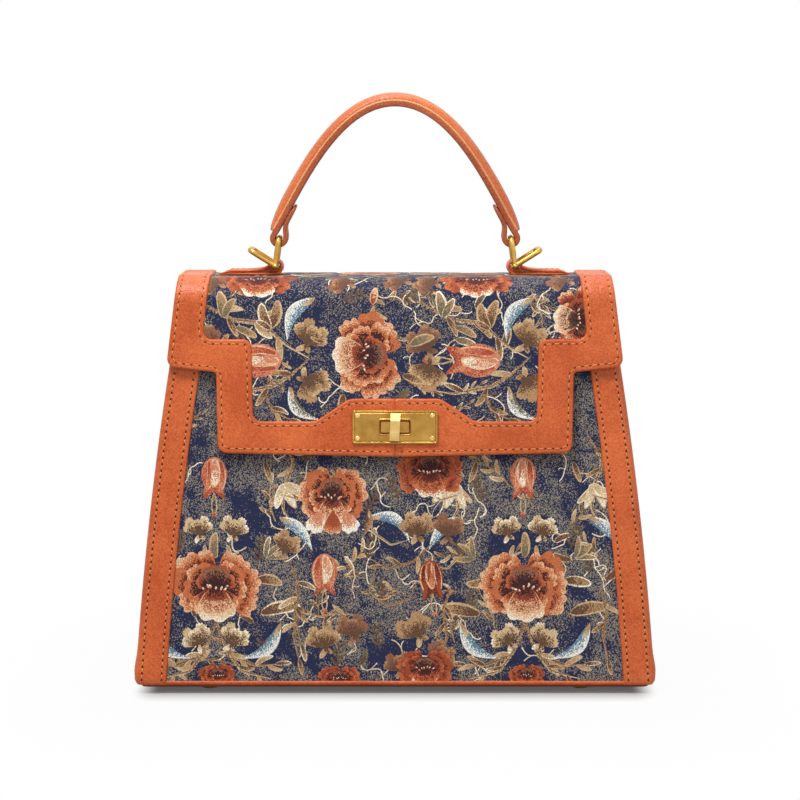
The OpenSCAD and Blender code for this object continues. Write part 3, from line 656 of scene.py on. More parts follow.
# %% Trim outline
SEAM, TRIM_TOP, WINDOW_TOP = -0.2, 117.5, 100
TRIM_SLOPE = (123.2 - TRIM_TOP) / (FLAP_TOP - 175.2)
WINDOW_SLOPE = (103.5 - WINDOW_TOP) / (FLAP_TOP - 190.0)


def run_of(top, slope, s0, s1, n=40):
    """Points along a sloping flap edge."""
    return [(float(side_u(s, top, slope)), float(s), 0) for s in np.linspace(s0, s1, n)]


def trim_half():
    """Outlines of the trim's right half: (outer edge, window edge, both)."""
    f = flap_s
    outer = [(SEAM, -f(127.2), 0), (95.3, -f(129.2), 5), (96.3, -f(172.3), 2), (123.2, -f(175.2), 5)]
    outer += run_of(TRIM_TOP, TRIM_SLOPE, -f(183), f(191))
    outer += [(float(side_u(f(184), TRIM_TOP, TRIM_SLOPE)), f(184), 5), (SEAM, f(184), 0)]
    inner = [(SEAM, f(200), 0), (float(side_u(f(200), WINDOW_TOP, WINDOW_SLOPE)), f(200), 4.5)]
    inner += run_of(WINDOW_TOP, WINDOW_SLOPE, f(207), -f(197))
    inner += [(103.5, -f(190), 4.5), (77.3, -f(190), 4.5), (76.3, -f(146.2), 4.5), (42.5, -f(146.2), 9)]
    inner += [(24.6, -f(158.3), 9), (SEAM, -f(158.3), 0)]
    return rounded(outer), rounded(inner), rounded(outer + inner)


outer_edge, window_edge, half_outline = trim_half()
print("the trim's half outline has", len(half_outline), "points")

# %% Trim halves
ROW_IN, TRIM_OVERLAP = 2.6, 0.05
MIRROR = np.array([-1.0, 1.0])
for label, line in (("right", half_outline), ("left", (half_outline * MIRROR)[::-1])):
    trim = plate(f"flap trim {label}", line, flap, LAY_TRIM - TRIM_OVERLAP, LEATHER + TRIM_OVERLAP, TAN,
                 rows=(ROW_IN,), step=2.6)
    stand_in(trim, f"flap_trim_{label}")

# %% [markdown]
# ## Stitches on the trim
# Two rows of stitches follow the trim's outer edge and its window. A row could be drawn by hand, but it has to run
# beside every step and bend, so it is the outline itself, moved in, with the stretch along the seam left out.

# %% Trim stitch rows
LAY_LOCK, SINK, SEAM_CLEAR, JUMP = 5.6, 0.12, 3.4, 3
full = spaced(half_outline, 1.0)
row = offset(full, ROW_IN)
row = row[gap_to(row, full) > ROW_IN - 0.1]
keep = row[:, 0] > SEAM_CLEAR
spots = np.nonzero(keep)[0]
breaks = (np.diff(spots) > 1) | (np.linalg.norm(np.diff(row[spots], axis=0), axis=1) > JUMP)
rows = np.split(row[spots], np.nonzero(breaks)[0] + 1)
if len(rows) > 1 and keep[0] and keep[-1]:
    rows[0] = np.vstack([rows.pop(), rows[0]])
flap_stitches = Stitches()
for line in rows:
    for m in (1.0, -1.0):
        flap_stitches.row(line * [m, 1.0], flap, LAY_LOCK - SINK)
flap_stitches.done("flap")
print("stitch rows on a half:", len(rows))

# %% [markdown]
# ## Corner strips
# A leather strip covers each upright corner: it lies on the cloth, turns round the corner and ends on the side. Near
# the base it swells over the layers inside and tucks in under them. A bent plate couldn't swell, so the strip is a
# stack of cross-sections, one for each height.

# %% Strip section
STRIP_W, CORNER_R, BAND_LOW = 17.0, 3.0, 5.0
FRONT_EDGE = [(-STRIP_W, 0.0), (-STRIP_W, 0.55), (-STRIP_W + 0.25, 1.0), (-STRIP_W + 0.7, 1.3)]
FRONT_FLAT = [(x, LEATHER) for x in (-15.4, -14.9, -14.3, -13.7, -12, -9, -6.5, -4.6)]
SIDE_EDGE = ((5.0, 1.4), (6.2, 1.4), (7.3, 1.3), (7.75, 1.0), (8.0, 0.55), (8.0, -0.2))
STRIP_ROWS, STRIP_GROOVE, TURN_STEPS = (-14.3, -3.2), 0.14, 8
TURN_R = CORNER_R + 0.8


def swell(z):
    """How far a strip stands out near the base and tucks in under it."""
    return 0.9 * np.exp(-((z - WALL_Z - 6.3) / 6.3) ** 2) - 1.3 * np.exp(-((z - BAND_LOW) / 1.2) ** 2)


def strip_ring(z):
    """Cross-section (x, y) of a strip at a height, from the cloth round the corner to the side."""
    puff, x, y, ring = swell(z), half_w(z), half_d(z), []
    for a, h in FRONT_EDGE + FRONT_FLAT:
        groove = STRIP_GROOVE * sum(math.exp(-((a - row) / GROOVE_WIDE) ** 2) for row in STRIP_ROWS)
        ring.append((x + a, y + (h - groove) / COS + puff * 0.4 * min(1, h)))
    face = y + LEATHER / COS
    for an in (math.pi / 2 * k / TURN_STEPS for k in range(TURN_STEPS + 1)):
        ring.append((x - TURN_R + (TURN_R + puff) * math.sin(an), face - TURN_R + (TURN_R + 0.4 * puff) * math.cos(an)))
    return ring + [(x - LEATHER + h + puff * 0.5 * min(1, max(h, 0)), y - b) for b, h in SIDE_EDGE]


print("a strip's section has", len(strip_ring(WALL_Z)), "points")

# %% Strips and their stitches
STRIP_LEVELS = np.r_[np.linspace(BAND_LOW, 22, 16), np.linspace(26, MOUTH_Z - 0.5, 50)]
STITCH_ROWS, STITCH_TOP = ((STRIP_W - 2.7, -0.08), (3.7, 0.03)), 176.0


def strip(name, sx, sy):
    """One corner strip; sx and sy choose the corner."""
    pts = np.array([[(sx * x, -sy * y, z) for x, y in strip_ring(z)] for z in STRIP_LEVELS])
    n, k = pts.shape[:2]
    faces = grid_faces(n, k) + [tuple(range(k)), tuple((n - 1) * k + i for i in range(k))[::-1]]
    return faced_out(mesh_object(name, pts.reshape(-1, 3), faces, TAN))


strip_stitches = Stitches()
for sx, across in ((1, "right"), (-1, "left")):
    for sy, face in ((1, "front"), (-1, "back")):
        stand_in(strip(f"{face} strip {across}", sx, sy), f"{face}_strip_{across}")
        swollen = lambda u, v, w: wall(u, v, w + 0.4 * swell(WALL_Z + v * COS), back=sy < 0)
        v = np.linspace(0.5, STITCH_TOP, 60)
        for inset, up in STITCH_ROWS:
            line = np.stack([sx * (half_w(WALL_Z + v * COS) - inset), v], -1)
            strip_stitches.row(line, swollen, LEATHER + up, pitch=3.5)
strip_stitches.done("strip")

# %% [markdown]
# ## Dyes
# The cloth is woven from a small set of dyed yarns: a navy ground, rusts and creams for the flowers, tans for the
# stems and a few blues. Free colours for each petal would look painted, so every shape chooses two of these dyes.

# %% Dyes
DYES = {name: linear(code) for name, code in {
    "navy": "#1b2347", "grey": "#9b907d", "russet": "#96644a", "rust": "#a54c2d", "brick": "#6c261b",
    "wine": "#3a1618", "orange": "#cc7144", "peach": "#f0be93", "cream": "#fff3da", "red": "#b84e35",
    "tan": "#bd9468", "brown": "#674733", "sand": "#dcbe92", "slate": "#6189a0", "ice": "#f6f4ea",
    "moss": "#746c55", "coral": "#dc8d68"}.items()}
print("dyes:", len(DYES))

# %% [markdown]
# ## Shapes of the drawing
# A weaver's pattern starts as a drawing of petals, leaves and stems. It could be drawn in an image editor, but shapes
# in code stay sharp at any distance and can be moved and mirrored. Each shape is an outline with two dyes and the way
# that one fades into the other.


# %% Drawing
class Drawing:
    """Shapes in the order they are woven, later ones on top."""

    def __init__(self, seed):
        self.shapes, self.halos, self.rng = [], [], random.Random(seed)

    def add(self, poly, a, b, start, end, low=0.0, high=1.0):
        """A shape whose dye runs from b at start to a at end."""
        poly, start, end = (np.asarray(p, float) for p in (poly, start, end))
        self.shapes.append((poly, a, b, start, end, low, high))

    def placed(self, poly, angle, base):
        """Points turned by an angle and moved to a base."""
        ca, sa = math.cos(angle), math.sin(angle)
        return poly @ np.array([[ca, sa], [-sa, ca]]) + np.asarray(base, float)

    def moved(self, first, scale, angle, at):
        """Scales, turns and moves the shapes drawn since the given one."""
        place = lambda p: self.placed(np.atleast_2d(p) * scale, angle, at)
        for i in range(first, len(self.shapes)):
            poly, a, b, s, e, low, high = self.shapes[i]
            self.shapes[i] = (place(poly), a, b, place(s)[0], place(e)[0], low, high)

    def fan(self, base, angle, long, spread, a, b, rim=None, lobes=3, deep=-0.3):
        """A broad ruffled petal: dye b at its base, a further out and rim towards its scalloped edge."""
        t = np.linspace(-1, 1, 15)
        wave = 0.94 + 0.09 * np.abs(np.sin(lobes * math.pi / 2 * t + self.rng.uniform(0, 3))) - 0.2 * t ** 4
        arc = np.stack([long * wave * np.cos(spread * t), long * wave * np.sin(spread * t) * 1.05], -1)
        sides = arc[[0, -1]] * [0.5, 0.62]
        shape = np.vstack([[(0, 0)], sides[:1], arc, sides[1:]])
        tip = self.placed(np.array([[long, 0.0]]), angle, base)[0]
        core, reach = (0.8, 0.93) if rim else (1.0, 1.0)
        if rim:
            self.add(self.placed(shape, angle, base), rim, a, base, tip, -3.6, 0.95)
        self.add(self.placed(shape * core, angle, base), a, b, base, tip, deep, deep + (1 - deep) / reach)

    def petal(self, base, angle, long, wide, a, b, frill=0.0, rim=None):
        """A pointed petal or leaf from its base outward, with an edge of rim dye."""
        t = np.linspace(0, math.pi, 9)
        x = long * (0.5 - 0.5 * np.cos(t)) ** 0.85
        y = wide * np.sin(t) ** 0.9 * (1.05 - 0.3 * x / long)
        if frill:
            x = x + frill * long * np.sin(6 * t + self.rng.random() * 6) * np.sin(t)
        sway = 0.1 * long * np.sin(math.pi * x / long) * self.rng.uniform(-1, 1)
        shape = np.r_[np.stack([x, y + sway], -1), np.stack([x, sway - 0.85 * y], -1)[-2:0:-1]]
        tip = self.placed(np.array([[long, 0.0]]), angle, base)[0]
        if rim:
            self.add(self.placed(shape, angle, base), rim, a, base, tip, 0.35, 1.0)
            shape = shape * [0.92, 0.72] + [0.02 * long, 0.06 * wide]
        self.add(self.placed(shape, angle, base), a, b, base, tip, -0.3, 1.05)

    def stroke(self, points, wide, a, b, taper=True):
        """A line with a width, thin at its ends."""
        p = spaced(points, 1.8, closed=False)
        d = np.gradient(p, axis=0)
        d /= np.linalg.norm(d, axis=1)[:, None] + 1e-9
        n = np.stack([-d[:, 1], d[:, 0]], -1)
        t = np.linspace(0, 1, len(p))
        half = wide / 2 * (np.sin(math.pi * (0.14 + 0.82 * t)) if taper else np.ones(len(p)))
        self.add(np.r_[p + n * half[:, None], (p - n * half[:, None])[::-1]], a, b, p[0], p[-1], 0.25, 0.95)

    def halo(self, at, radius):
        """Keeps the ground navy round a flower."""
        self.halos.append((*at, radius))


# %% Curves for stems
def bezier(p0, p1, p2, p3, n=12):
    """Points of a cubic curve."""
    t = np.linspace(0, 1, n)[:, None]
    p0, p1, p2, p3 = (np.asarray(p, float) for p in (p0, p1, p2, p3))
    return (1 - t) ** 3 * p0 + 3 * t * (1 - t) ** 2 * p1 + 3 * t ** 2 * (1 - t) * p2 + t ** 3 * p3


def through(points, n=24):
    """A smooth line through points."""
    p = np.asarray(points, float)
    for _ in range(2):
        mid = (p[1:] + p[:-1]) / 2
        between = np.column_stack([mid[:-1], p[1:-1], mid[1:]]).reshape(-1, 2)[1:] if len(p) > 2 else mid
        p = np.vstack([p[:1], between, p[-1:]])
    d = np.r_[0, np.cumsum(np.linalg.norm(np.diff(p, axis=0), axis=1))]
    t = np.linspace(0, d[-1], n)
    return np.stack([np.interp(t, d, p[:, 0]), np.interp(t, d, p[:, 1])], -1)


print("a stem has", len(through([(0, 0), (1, 1), (2, 0)])), "points")

# %% [markdown]
# ## Peonies
# The large flowers are open peonies: rings of ruffled petals round a dark heart, and a large pale petal in front. One
# outline filled with a gradient would look flat. Fans laid over each other from back to front, each dark at its root,
# give the layers, and a seeded random turn keeps two flowers from being the same.

# %% Peony
OPEN, DARK = ("orange", "rust", "peach"), ("rust", "brick", "orange")
deg = math.radians
BACK_PETALS = ((118, 0.41, 20), (62, 0.41, 20), (142, 0.47, 23), (38, 0.47, 23), (232, 0.36, 18), (-52, 0.36, 18),
               (168, 0.5, 21), (12, 0.49, 21), (206, 0.45, 20), (-26, 0.46, 20))
MID_PETALS = ((128, 0.32, 23), (52, 0.33, 23), (154, 0.37, 21), (26, 0.36, 21), (218, 0.33, 19), (-38, 0.33, 19),
              (184, 0.35, 22), (-4, 0.35, 22))
HEART_PETALS = ((160, 0.22, 28), (20, 0.22, 28), (118, 0.23, 26), (62, 0.23, 26))
PETAL_RINGS = ((BACK_PETALS, 0.02, 5, (0.94, 1.06), "brick", 0.75, -2.2),
               (MID_PETALS, 0.03, 6, (0.92, 1.08), "wine", 0.6, -1.9))


def peony(d, at, size, turn=0.0, tones=OPEN, tall=1.0):
    """An open ruffled flower; its large front petal hangs down before it is turned."""
    light, deep, edge = tones
    d.halo(at, 0.55 * size)
    first, r = len(d.shapes), d.rng
    for petals, up, sway, grow, root, pale_share, fade in PETAL_RINGS:
        for an, long, spread in petals:
            d.fan((0, up), deg(an + r.uniform(-sway, sway)), long * r.uniform(*grow), deg(spread), light, root,
                  edge if r.random() < pale_share else light, r.choice((2, 3)), fade)
    for an, long, spread in HEART_PETALS:
        d.fan((0, 0.04), deg(an), long, deg(spread), deep, "wine", light, 2, -1.5)
    d.fan((0, 0.0), deg(90), 0.27, deg(40), "russet", "wine", deep, 3, -0.9)
    for an in (-132, -48):
        d.fan((0, 0.03), deg(an), 0.31, deg(23), light, "brick", edge, 2, -1.6)
    d.fan((0, 0.09), deg(-90), 0.44, deg(36), edge, deep, "cream", 3, -0.7)
    d.fan((0, 0.1), deg(-90), 0.27, deg(34), deep, "wine", edge, 3, -0.8)
    for k in range(7):
        x = -0.12 + 0.04 * k + r.uniform(-0.012, 0.012)
        root = (x, 0.01 + r.uniform(-0.04, 0.02))
        d.petal(root, deg(90 - 480 * x), r.uniform(0.03, 0.06), 0.014, "cream", "orange")
    d.moved(first, np.array([size, size * tall]), turn, at)


sample = Drawing(1)
peony(sample, (0, 0), 40)
print("a peony has", len(sample.shapes), "shapes")

# %% [markdown]
# ## Buds and blossoms
# Between the peonies hang striped buds on thin stems and lobed tan blossoms. They could be smaller peonies, but their
# outlines differ too much: a bud is one outline with striped petals on it, and a blossom is five fans from one foot.

# %% Bud and blossom
BUD_SIDE = ((-0.5, 0.0), (-0.47, 0.1), (-0.38, 0.21), (-0.22, 0.29), (-0.04, 0.31), (0.12, 0.26), (0.25, 0.2),
            (0.37, 0.22), (0.5, 0.27), (0.44, 0.16), (0.36, 0.07), (0.3, 0.0))
BLOSSOM_LOBES = ((0.85, 0.68, 0.36), (-0.85, 0.66, 0.36), (0.42, 0.8, 0.26), (-0.42, 0.78, 0.26), (0.0, 0.62, 0.5))
TAN_BLOSSOM, DRY_BLOSSOM = ("tan", "brown", "sand"), ("russet", "brown", "tan")
PALE_BLOSSOM = ("sand", "brown", "cream")


def bud(d, at, size, turn=-math.pi / 2, tones=("coral", "red", "cream")):
    """A hanging half-open bud whose two points face turn, on a thin stem with a cup."""
    light, deep, pale = tones
    d.halo(at, 0.6 * size)
    first = len(d.shapes)
    for k in (-1, 1):
        d.stroke(bezier((0.34, 0), (0.55, 0.08 * k), (0.72, 0.09 * k), (0.9, 0.01)), 0.03, "sand", "tan", False)
    d.fan((0.92, 0), math.pi, 0.13, 0.7, "coral", "rust", None, 2)
    side = np.array(BUD_SIDE)
    d.add(np.vstack([side, (side * [1, -1])[-2:0:-1]]), deep, light, (-0.35, 0), (0.48, 0), 0.05, 0.95)
    for k in (-1, 1):
        d.petal((-0.49, 0.02 * k), 0.5 * k, 0.42, 0.07, deep, light)
        d.petal((-0.42, 0.13 * k), 0.06 * k, 0.72, 0.1, light, deep, 0.03, "peach")
        d.petal((0.12, 0.12 * k), 0.3 * k, 0.36, 0.06, "rust", light)
    d.petal((-0.46, 0), 0.0, 0.68, 0.15, pale, light, 0.03, "peach")
    d.petal((-0.42, 0.05), 0.07, 0.46, 0.03, light, "peach")
    d.petal((-0.42, -0.06), -0.07, 0.46, 0.025, deep, light)
    d.moved(first, size, turn, at)


def blossom(d, at, size, turn, tones):
    """A lobed leaf flower with a pale curl at its foot."""
    light, dark, edge = tones
    d.halo(at, 0.5 * size)
    first = len(d.shapes)
    for an, long, spread in BLOSSOM_LOBES:
        way = an + d.rng.uniform(-0.1, 0.1)
        d.fan((-0.35, 0), way, long, spread, light, dark, edge if d.rng.random() < 0.6 else light, 4, -0.9)
    d.petal((-0.35, -0.02), 2.5, 0.34, 0.11, edge, light)
    d.petal((-0.35, 0.02), -2.2, 0.3, 0.1, light, dark)
    d.moved(first, size, turn, at)


sample = Drawing(1)
bud(sample, (0, 0), 20)
print("a bud has", len(sample.shapes), "shapes")

# %% [markdown]
# ## Leaves, stems and tendrils
# The ground between the flowers is filled with blue-white crescent leaves, leafy stems, thin tendrils and dim sprigs.
# Scattering one leaf many times would show. So each is a small recipe with random bends, and stems carry leaves at
# chosen places along their line.

# %% Leaves and stems
CRESCENT_TONES = (0.98, 0.72, 0.48, 0.3, 0.12)


def crescent(d, start, end, bow, wide, a="ice", b="slate"):
    """A long curved leaf, in strips from a pale side to a blue one."""
    start, end = np.asarray(start, float), np.asarray(end, float)
    run = end - start
    long, side = np.linalg.norm(run), np.array([-run[1], run[0]])
    t = np.linspace(0, 1, 12)[:, None]
    spine = start + run * t + side * bow * np.sin(math.pi * t)
    body = np.sin(math.pi * t ** 0.75) * wide
    d.halo((start + end) / 2, 0.45 * long)
    for k, light in enumerate(CRESCENT_TONES):
        outer, inner = (spine + side * body * np.sign(bow) * (edge - 0.2 * k) for edge in (0.5, 0.3))
        d.add(np.r_[outer, inner[-2:0:-1]], a, b, end, start, light + 0.15, light - 0.1)
    d.petal(start, math.atan2(*(spine[4] - start)[::-1]), 0.3 * long, 0.05 * long, "sand", "tan")


def leaf(d, base, angle, size, a="tan", b="brown", wide=0.17):
    """A small pointed leaf with a lighter edge."""
    rim = "cream" if d.rng.random() < 0.35 else "moss" if a == "moss" else "sand"
    d.petal(base, angle, size, size * wide, a, b, 0.04, rim)


def scroll(d, points, wide, a, b, leaves=(), tip=0.0):
    """A stem through points with leaves at chosen shares of it: (share, angle from the stem, length)."""
    line = through(points)
    d.stroke(line, wide, a, b)
    d.stroke(line + 0.12 * wide, wide * 0.35, "brown", "tan")
    for share, angle, size in leaves:
        i = min(len(line) - 2, max(1, int(share * (len(line) - 1))))
        way = math.atan2(*(line[i + 1] - line[i - 1])[::-1])
        leaf(d, line[i], way + angle, size, *(("tan", "brown") if d.rng.random() < 0.6 else ("sand", "tan")))
    if tip:
        leaf(d, line[-2], math.atan2(*(line[-1] - line[-3])[::-1]), tip)


print("a crescent leaf has", len(CRESCENT_TONES), "strips")


# %% Tendrils and sprigs
def squiggle(d, at, size, a="cream", b="sand"):
    """A thin wandering tendril with side branches."""
    r = d.rng
    p, way = [np.asarray(at, float)], r.random() * 6.28
    for _ in range(10):
        way += r.uniform(-1.1, 1.1)
        p.append(p[-1] + size / 6 * np.array([math.cos(way), math.sin(way)]))
    d.stroke(np.array(p), 0.6, a, b, taper=False)
    for k in (3, 7):
        out = way + r.uniform(1.0, 2.2) * r.choice((-1, 1))
        step = size / 6 * np.array([math.cos(out), math.sin(out)])
        d.stroke(np.array([p[k], p[k] + step, p[k] + step * 1.6 + step[::-1] * 0.5]), 0.5, a, b, taper=False)


def fern(d, at, size, angle):
    """A dim mossy sprig that fills the ground."""
    at = np.asarray(at, float)
    axis = np.array([math.cos(angle), math.sin(angle)])
    stem = [at, at + axis * size * 0.5 + axis[::-1] * 0.6, at + axis * size]
    d.stroke(np.array(stem), 0.8, "moss", "brown")
    for k in range(4):
        for side in (-1, 1):
            root = at + axis * size * (0.2 + 0.2 * k)
            d.petal(root, angle + side * 0.8, size * 0.32, size * 0.06, "moss", "brown")


def sprig(d, at, size, angle, a, b):
    """A bending stem with pointed leaves."""
    r, long = d.rng, 0.42 * size
    axis = np.array([math.cos(angle), math.sin(angle)])
    bend = r.uniform(0.2, 0.5) * r.choice((-1, 1)) * axis[::-1] * [-1, 1]
    line = [at + size * (s * axis + s * s * bend) for s in (0, 0.35, 0.7, 1)]
    leaves = [(0.25, 0.7, long), (0.4, -0.7, long), (0.6, 0.6, 0.9 * long), (0.75, -0.6, 0.8 * long)]
    scroll(d, line, 1.3, a, b, leaves, 0.8 * long)


SPRIG_TONES = (("moss", "brown"), ("tan", "moss"), ("moss", "navy"), ("sand", "moss"), ("russet", "brown"),
               ("moss", "brown"))
SPRIG_GAP = 9


def fill(d, low, high, count, way):
    """Strews sprigs, leaves and tendrils under the flowers, where there is room, mostly growing one way."""
    r, first, spots = d.rng, len(d.shapes), []
    for _ in range(12 * count):
        at = np.array([r.uniform(low[0], high[0]), r.uniform(low[1], high[1])])
        crowded = any(math.hypot(at[0] - x, at[1] - y) < 0.6 * size for x, y, size in d.halos)
        if len(spots) == count or crowded or any(np.hypot(*(at - s)) < SPRIG_GAP for s in spots):
            continue
        spots.append(at)
        angle = way + r.uniform(-1.3, 1.3)
        if len(spots) % 3:
            sprig(d, at, r.uniform(13, 21), angle, *r.choice(SPRIG_TONES))
        else:
            squiggle(d, at, 14)
            leaf(d, at, angle, r.uniform(8, 13), *r.choice(SPRIG_TONES), wide=0.22)
    d.shapes = d.shapes[first:] + d.shapes[:first]
    print("sprigs:", len(spots), "shapes in all:", len(d.shapes))


# %% [markdown]
# ## Weaving a drawing onto a panel
# A loom makes the picture and the cloth at once. Painting an image on a plain mesh would keep them apart and blur the
# edges. Here the panel's outline, the shapes' outlines and a spread of points are joined into one net of triangles;
# each triangle looks up its topmost shape, and its corners carry the two dyes and the fade.


# %% Net of a cloth
def cloth_net(outline, drawing, spread):
    """Triangles over a panel that follow the shapes: (points, triangles, shape of each triangle, shapes on it)."""
    edge = spaced(outline, 2.0)
    on_panel = inside(np.vstack([shape[0] for shape in drawing.shapes]), edge)
    ends = np.cumsum([len(shape[0]) for shape in drawing.shapes])
    picked = [shape for shape, k in zip(drawing.shapes, ends) if on_panel[k - len(shape[0]):k].any()]
    points = spread_points(edge, spread)
    points = points + 0.3 * np.sin(points[:, ::-1] * 1.7)
    flat, tris = triangles(points[inside(points, edge)], [edge] + [shape[0] for shape in picked])
    tris = tris[inside(flat[tris].mean(1), edge)]
    centre, label = flat[tris].mean(1), np.full(len(tris), -1)
    for i, (poly, *_) in enumerate(picked):
        near = np.nonzero(((centre > poly.min(0)) & (centre < poly.max(0))).all(1))[0]
        label[near[inside(centre[near], poly)]] = i
    return flat, tris, label, picked


def slow_noise(p, seed):
    """Smooth random values round one half over the cloth."""
    r = random.Random(seed)
    v = np.zeros(len(p))
    for k in range(12):
        f = 0.05 * 1.22 ** k
        an, ph = r.random() * 6.28, r.random() * 6.28
        v += np.sin(f * (p[:, 0] * math.cos(an) + p[:, 1] * math.sin(an)) * 2 + ph) / (1 + 0.12 * k)
    return 0.5 + 0.2 * v


print("slow noise at one point:", slow_noise(np.zeros((1, 2)), 1).round(2))

# %% Dyes of a cloth
FADE_LOW, FADE_HIGH = 0.05, 0.91


def dyed(corner, who, drawing, picked, seed, pale):
    """Dyes and fade of each corner: navy and grey on the ground, and each shape's own dyes on it."""
    ground = np.clip(0.5 + 2.0 * (slow_noise(corner, seed) - 0.36), 0, 1)
    for x, y, r in drawing.halos:
        away = np.hypot(corner[:, 0] - x, corner[:, 1] - y)
        ground *= 1 - 0.5 * np.exp(-(away / (0.9 * r)) ** 6)
    fade = FADE_LOW + pale * ground
    dye_a, dye_b = (np.tile(np.array(DYES[k]), (len(corner), 1)) for k in ("grey", "navy"))
    order = np.argsort(who, kind="stable")
    first = np.searchsorted(who[order], np.arange(len(picked) + 1))
    for i, (_, a, b, s, e, low, high) in enumerate(picked):
        mine = order[first[i]:first[i + 1]]
        t = np.clip(np.linalg.norm(corner[mine] - s, axis=1) / max(np.linalg.norm(e - s), 1e-6), 0, 1)
        fade[mine] = np.clip(low + (high - low) * t, FADE_LOW, FADE_HIGH)
        dye_a[mine], dye_b[mine] = DYES[a], DYES[b]
    return dye_a, dye_b, fade


def woven(name, outline, drawing, surface, base, spread=2.2, seed=1, turned=False, pale=0.43):
    """A cloth panel whose triangles carry dyes."""
    flat, tris, label, picked = cloth_net(outline, drawing, spread)
    corner = flat[tris].reshape(-1, 2)
    dye_a, dye_b, fade = dyed(corner, np.repeat(label, 3), drawing, picked, seed, pale)
    used, index = np.unique(tris, return_inverse=True)
    obj = mesh_object(name, surface(flat[used, 0], flat[used, 1], base), index.reshape(-1, 3), CLOTH)
    thread = np.column_stack([corner[:, ::-1] if turned else corner, fade])
    for key, kind, prop, data in (("dye_a", "FLOAT_COLOR", "color", dye_a), ("dye_b", "FLOAT_COLOR", "color", dye_b),
                                  ("thread", "FLOAT_VECTOR", "vector", thread)):
        layer = obj.data.attributes.new(key, kind, "CORNER")
        layer.data.foreach_set(prop, np.ascontiguousarray(data, np.float32).ravel())
    print(len(picked), "shapes lie on", name)
    return obj


# %% [markdown]
# ## Front cloth
# On the bag's front the pattern has two mirrored bands, each with a large peony below and a hanging bud above, and a
# looser band between them. A random scatter would lose that order, so the flowers are placed one by one, in a drawing
# measured from the foot of the panel, and only the fill between them is random.

# %% Front ground
front = Drawing(11)
for x, y, an in ((-70, 8, 95), (-32, 6, 80), (36, 60, 100), (-16, 64, 70), (-4, 40, 110), (104, 56, 90), (-56, 96, 60),
                 (42, 34, 95), (-8, 16, 100), (94, 70, 70), (-118, 66, 80), (50, 96, 120), (-16, 90, 60), (2, 96, 110),
                 (-74, 62, 80)):
    fern(front, (x, y), 15, deg(an))
for spot in ((-118, 100), (-80, 72), (-62, 118), (-20, 74), (-2, 22), (38, 72), (52, 118), (90, 64), (116, 44),
             (-112, 66), (-64, 50), (-4, 108), (12, 66), (-44, 40), (34, 40), (98, 112), (-26, 14), (56, 12),
             (-70, 92), (0, 60), (-22, 44), (26, 96), (108, 92), (-122, 34), (-52, 12), (84, 8), (40, 106),
             (-84, 128), (84, 128), (-10, 126), (6, 34), (112, 24)):
    squiggle(front, spot, 15)
print("ground shapes:", len(front.shapes))


# %% Front mirrored bands
def band_half(d, cx, m):
    """Leaves and stems on one side of a band's middle; m is 1 or -1."""
    at = lambda x, y: (cx + m * x, y)
    flip = lambda an: deg(an if m > 0 else 180 - an)
    scroll(d, [at(0, 34), at(3, 22), at(9, 13), at(22, 8), at(34, 9)], 2.4, "tan", "brown",
           [(0.45, m * 0.7, 10), (0.6, -m * 0.7, 10), (0.75, m * 0.7, 11), (0.9, -m * 0.4, 9)], 9)
    scroll(d, [at(0, 30), at(6, 16), at(14, 5), at(30, 1)], 2.0, "sand", "brown",
           [(0.6, m * 0.8, 9), (0.85, -m * 0.8, 8)])
    crescent(d, at(35, 31), at(13, 12), m * 0.2, 0.23)
    blossom(d, at(10.5, 24), 15, flip(62), PALE_BLOSSOM)
    blossom(d, at(10, 83), 14, flip(80), PALE_BLOSSOM)
    leaf(d, at(6, 73), flip(-80), 9, "sand", "tan")
    scroll(d, [at(34, 132), at(42, 118), at(37, 104), at(36, 92), at(44, 80)], 2.2, "sand", "brown",
           [(0.2, m * 0.9, 9), (0.35, -m * 0.7, 9), (0.55, -m * 0.5, 13)])
    crescent(d, at(34, 88), at(52, 70), m * 0.12, 0.26)
    for an, size in ((-62, 15), (-35, 17), (-105, 14)):
        leaf(d, at(36, 106), flip(an), size, "cream", "sand", 0.2)
    scroll(d, [at(36, 100), at(46, 97), at(52, 104), at(49, 112)], 1.2, "sand", "tan")
    leaf(d, at(26, 118), flip(-70), 12)
    leaf(d, at(24, 36), flip(10), 22, wide=0.2)
    scroll(d, [at(40, 50), at(44, 38), at(42, 24), at(45, 10)], 1.8, "tan", "brown", [(0.3, 0.8, 9), (0.5, -0.8, 9)], 9)
    for an in (0, 40, 80):
        leaf(d, at(27, 66), flip(an), 12, "tan", "moss")


for cx in (-96.5, 70.0):
    for m in (1, -1):
        band_half(front, cx, m)
    leaf(front, (cx + 21, 54), deg(-8), 15, wide=0.24)
    leaf(front, (cx - 20, 54), deg(190), 12, wide=0.24)
    leaf(front, (cx, 66), deg(90), 14, "tan", "moss", 0.22)
    peony(front, (cx, 49), 49)
    bud(front, (cx - 1, 109), 23)
    peony(front, (cx + 1, 2.5), 20, tones=DARK, tall=0.8)
print("shapes with both bands:", len(front.shapes))

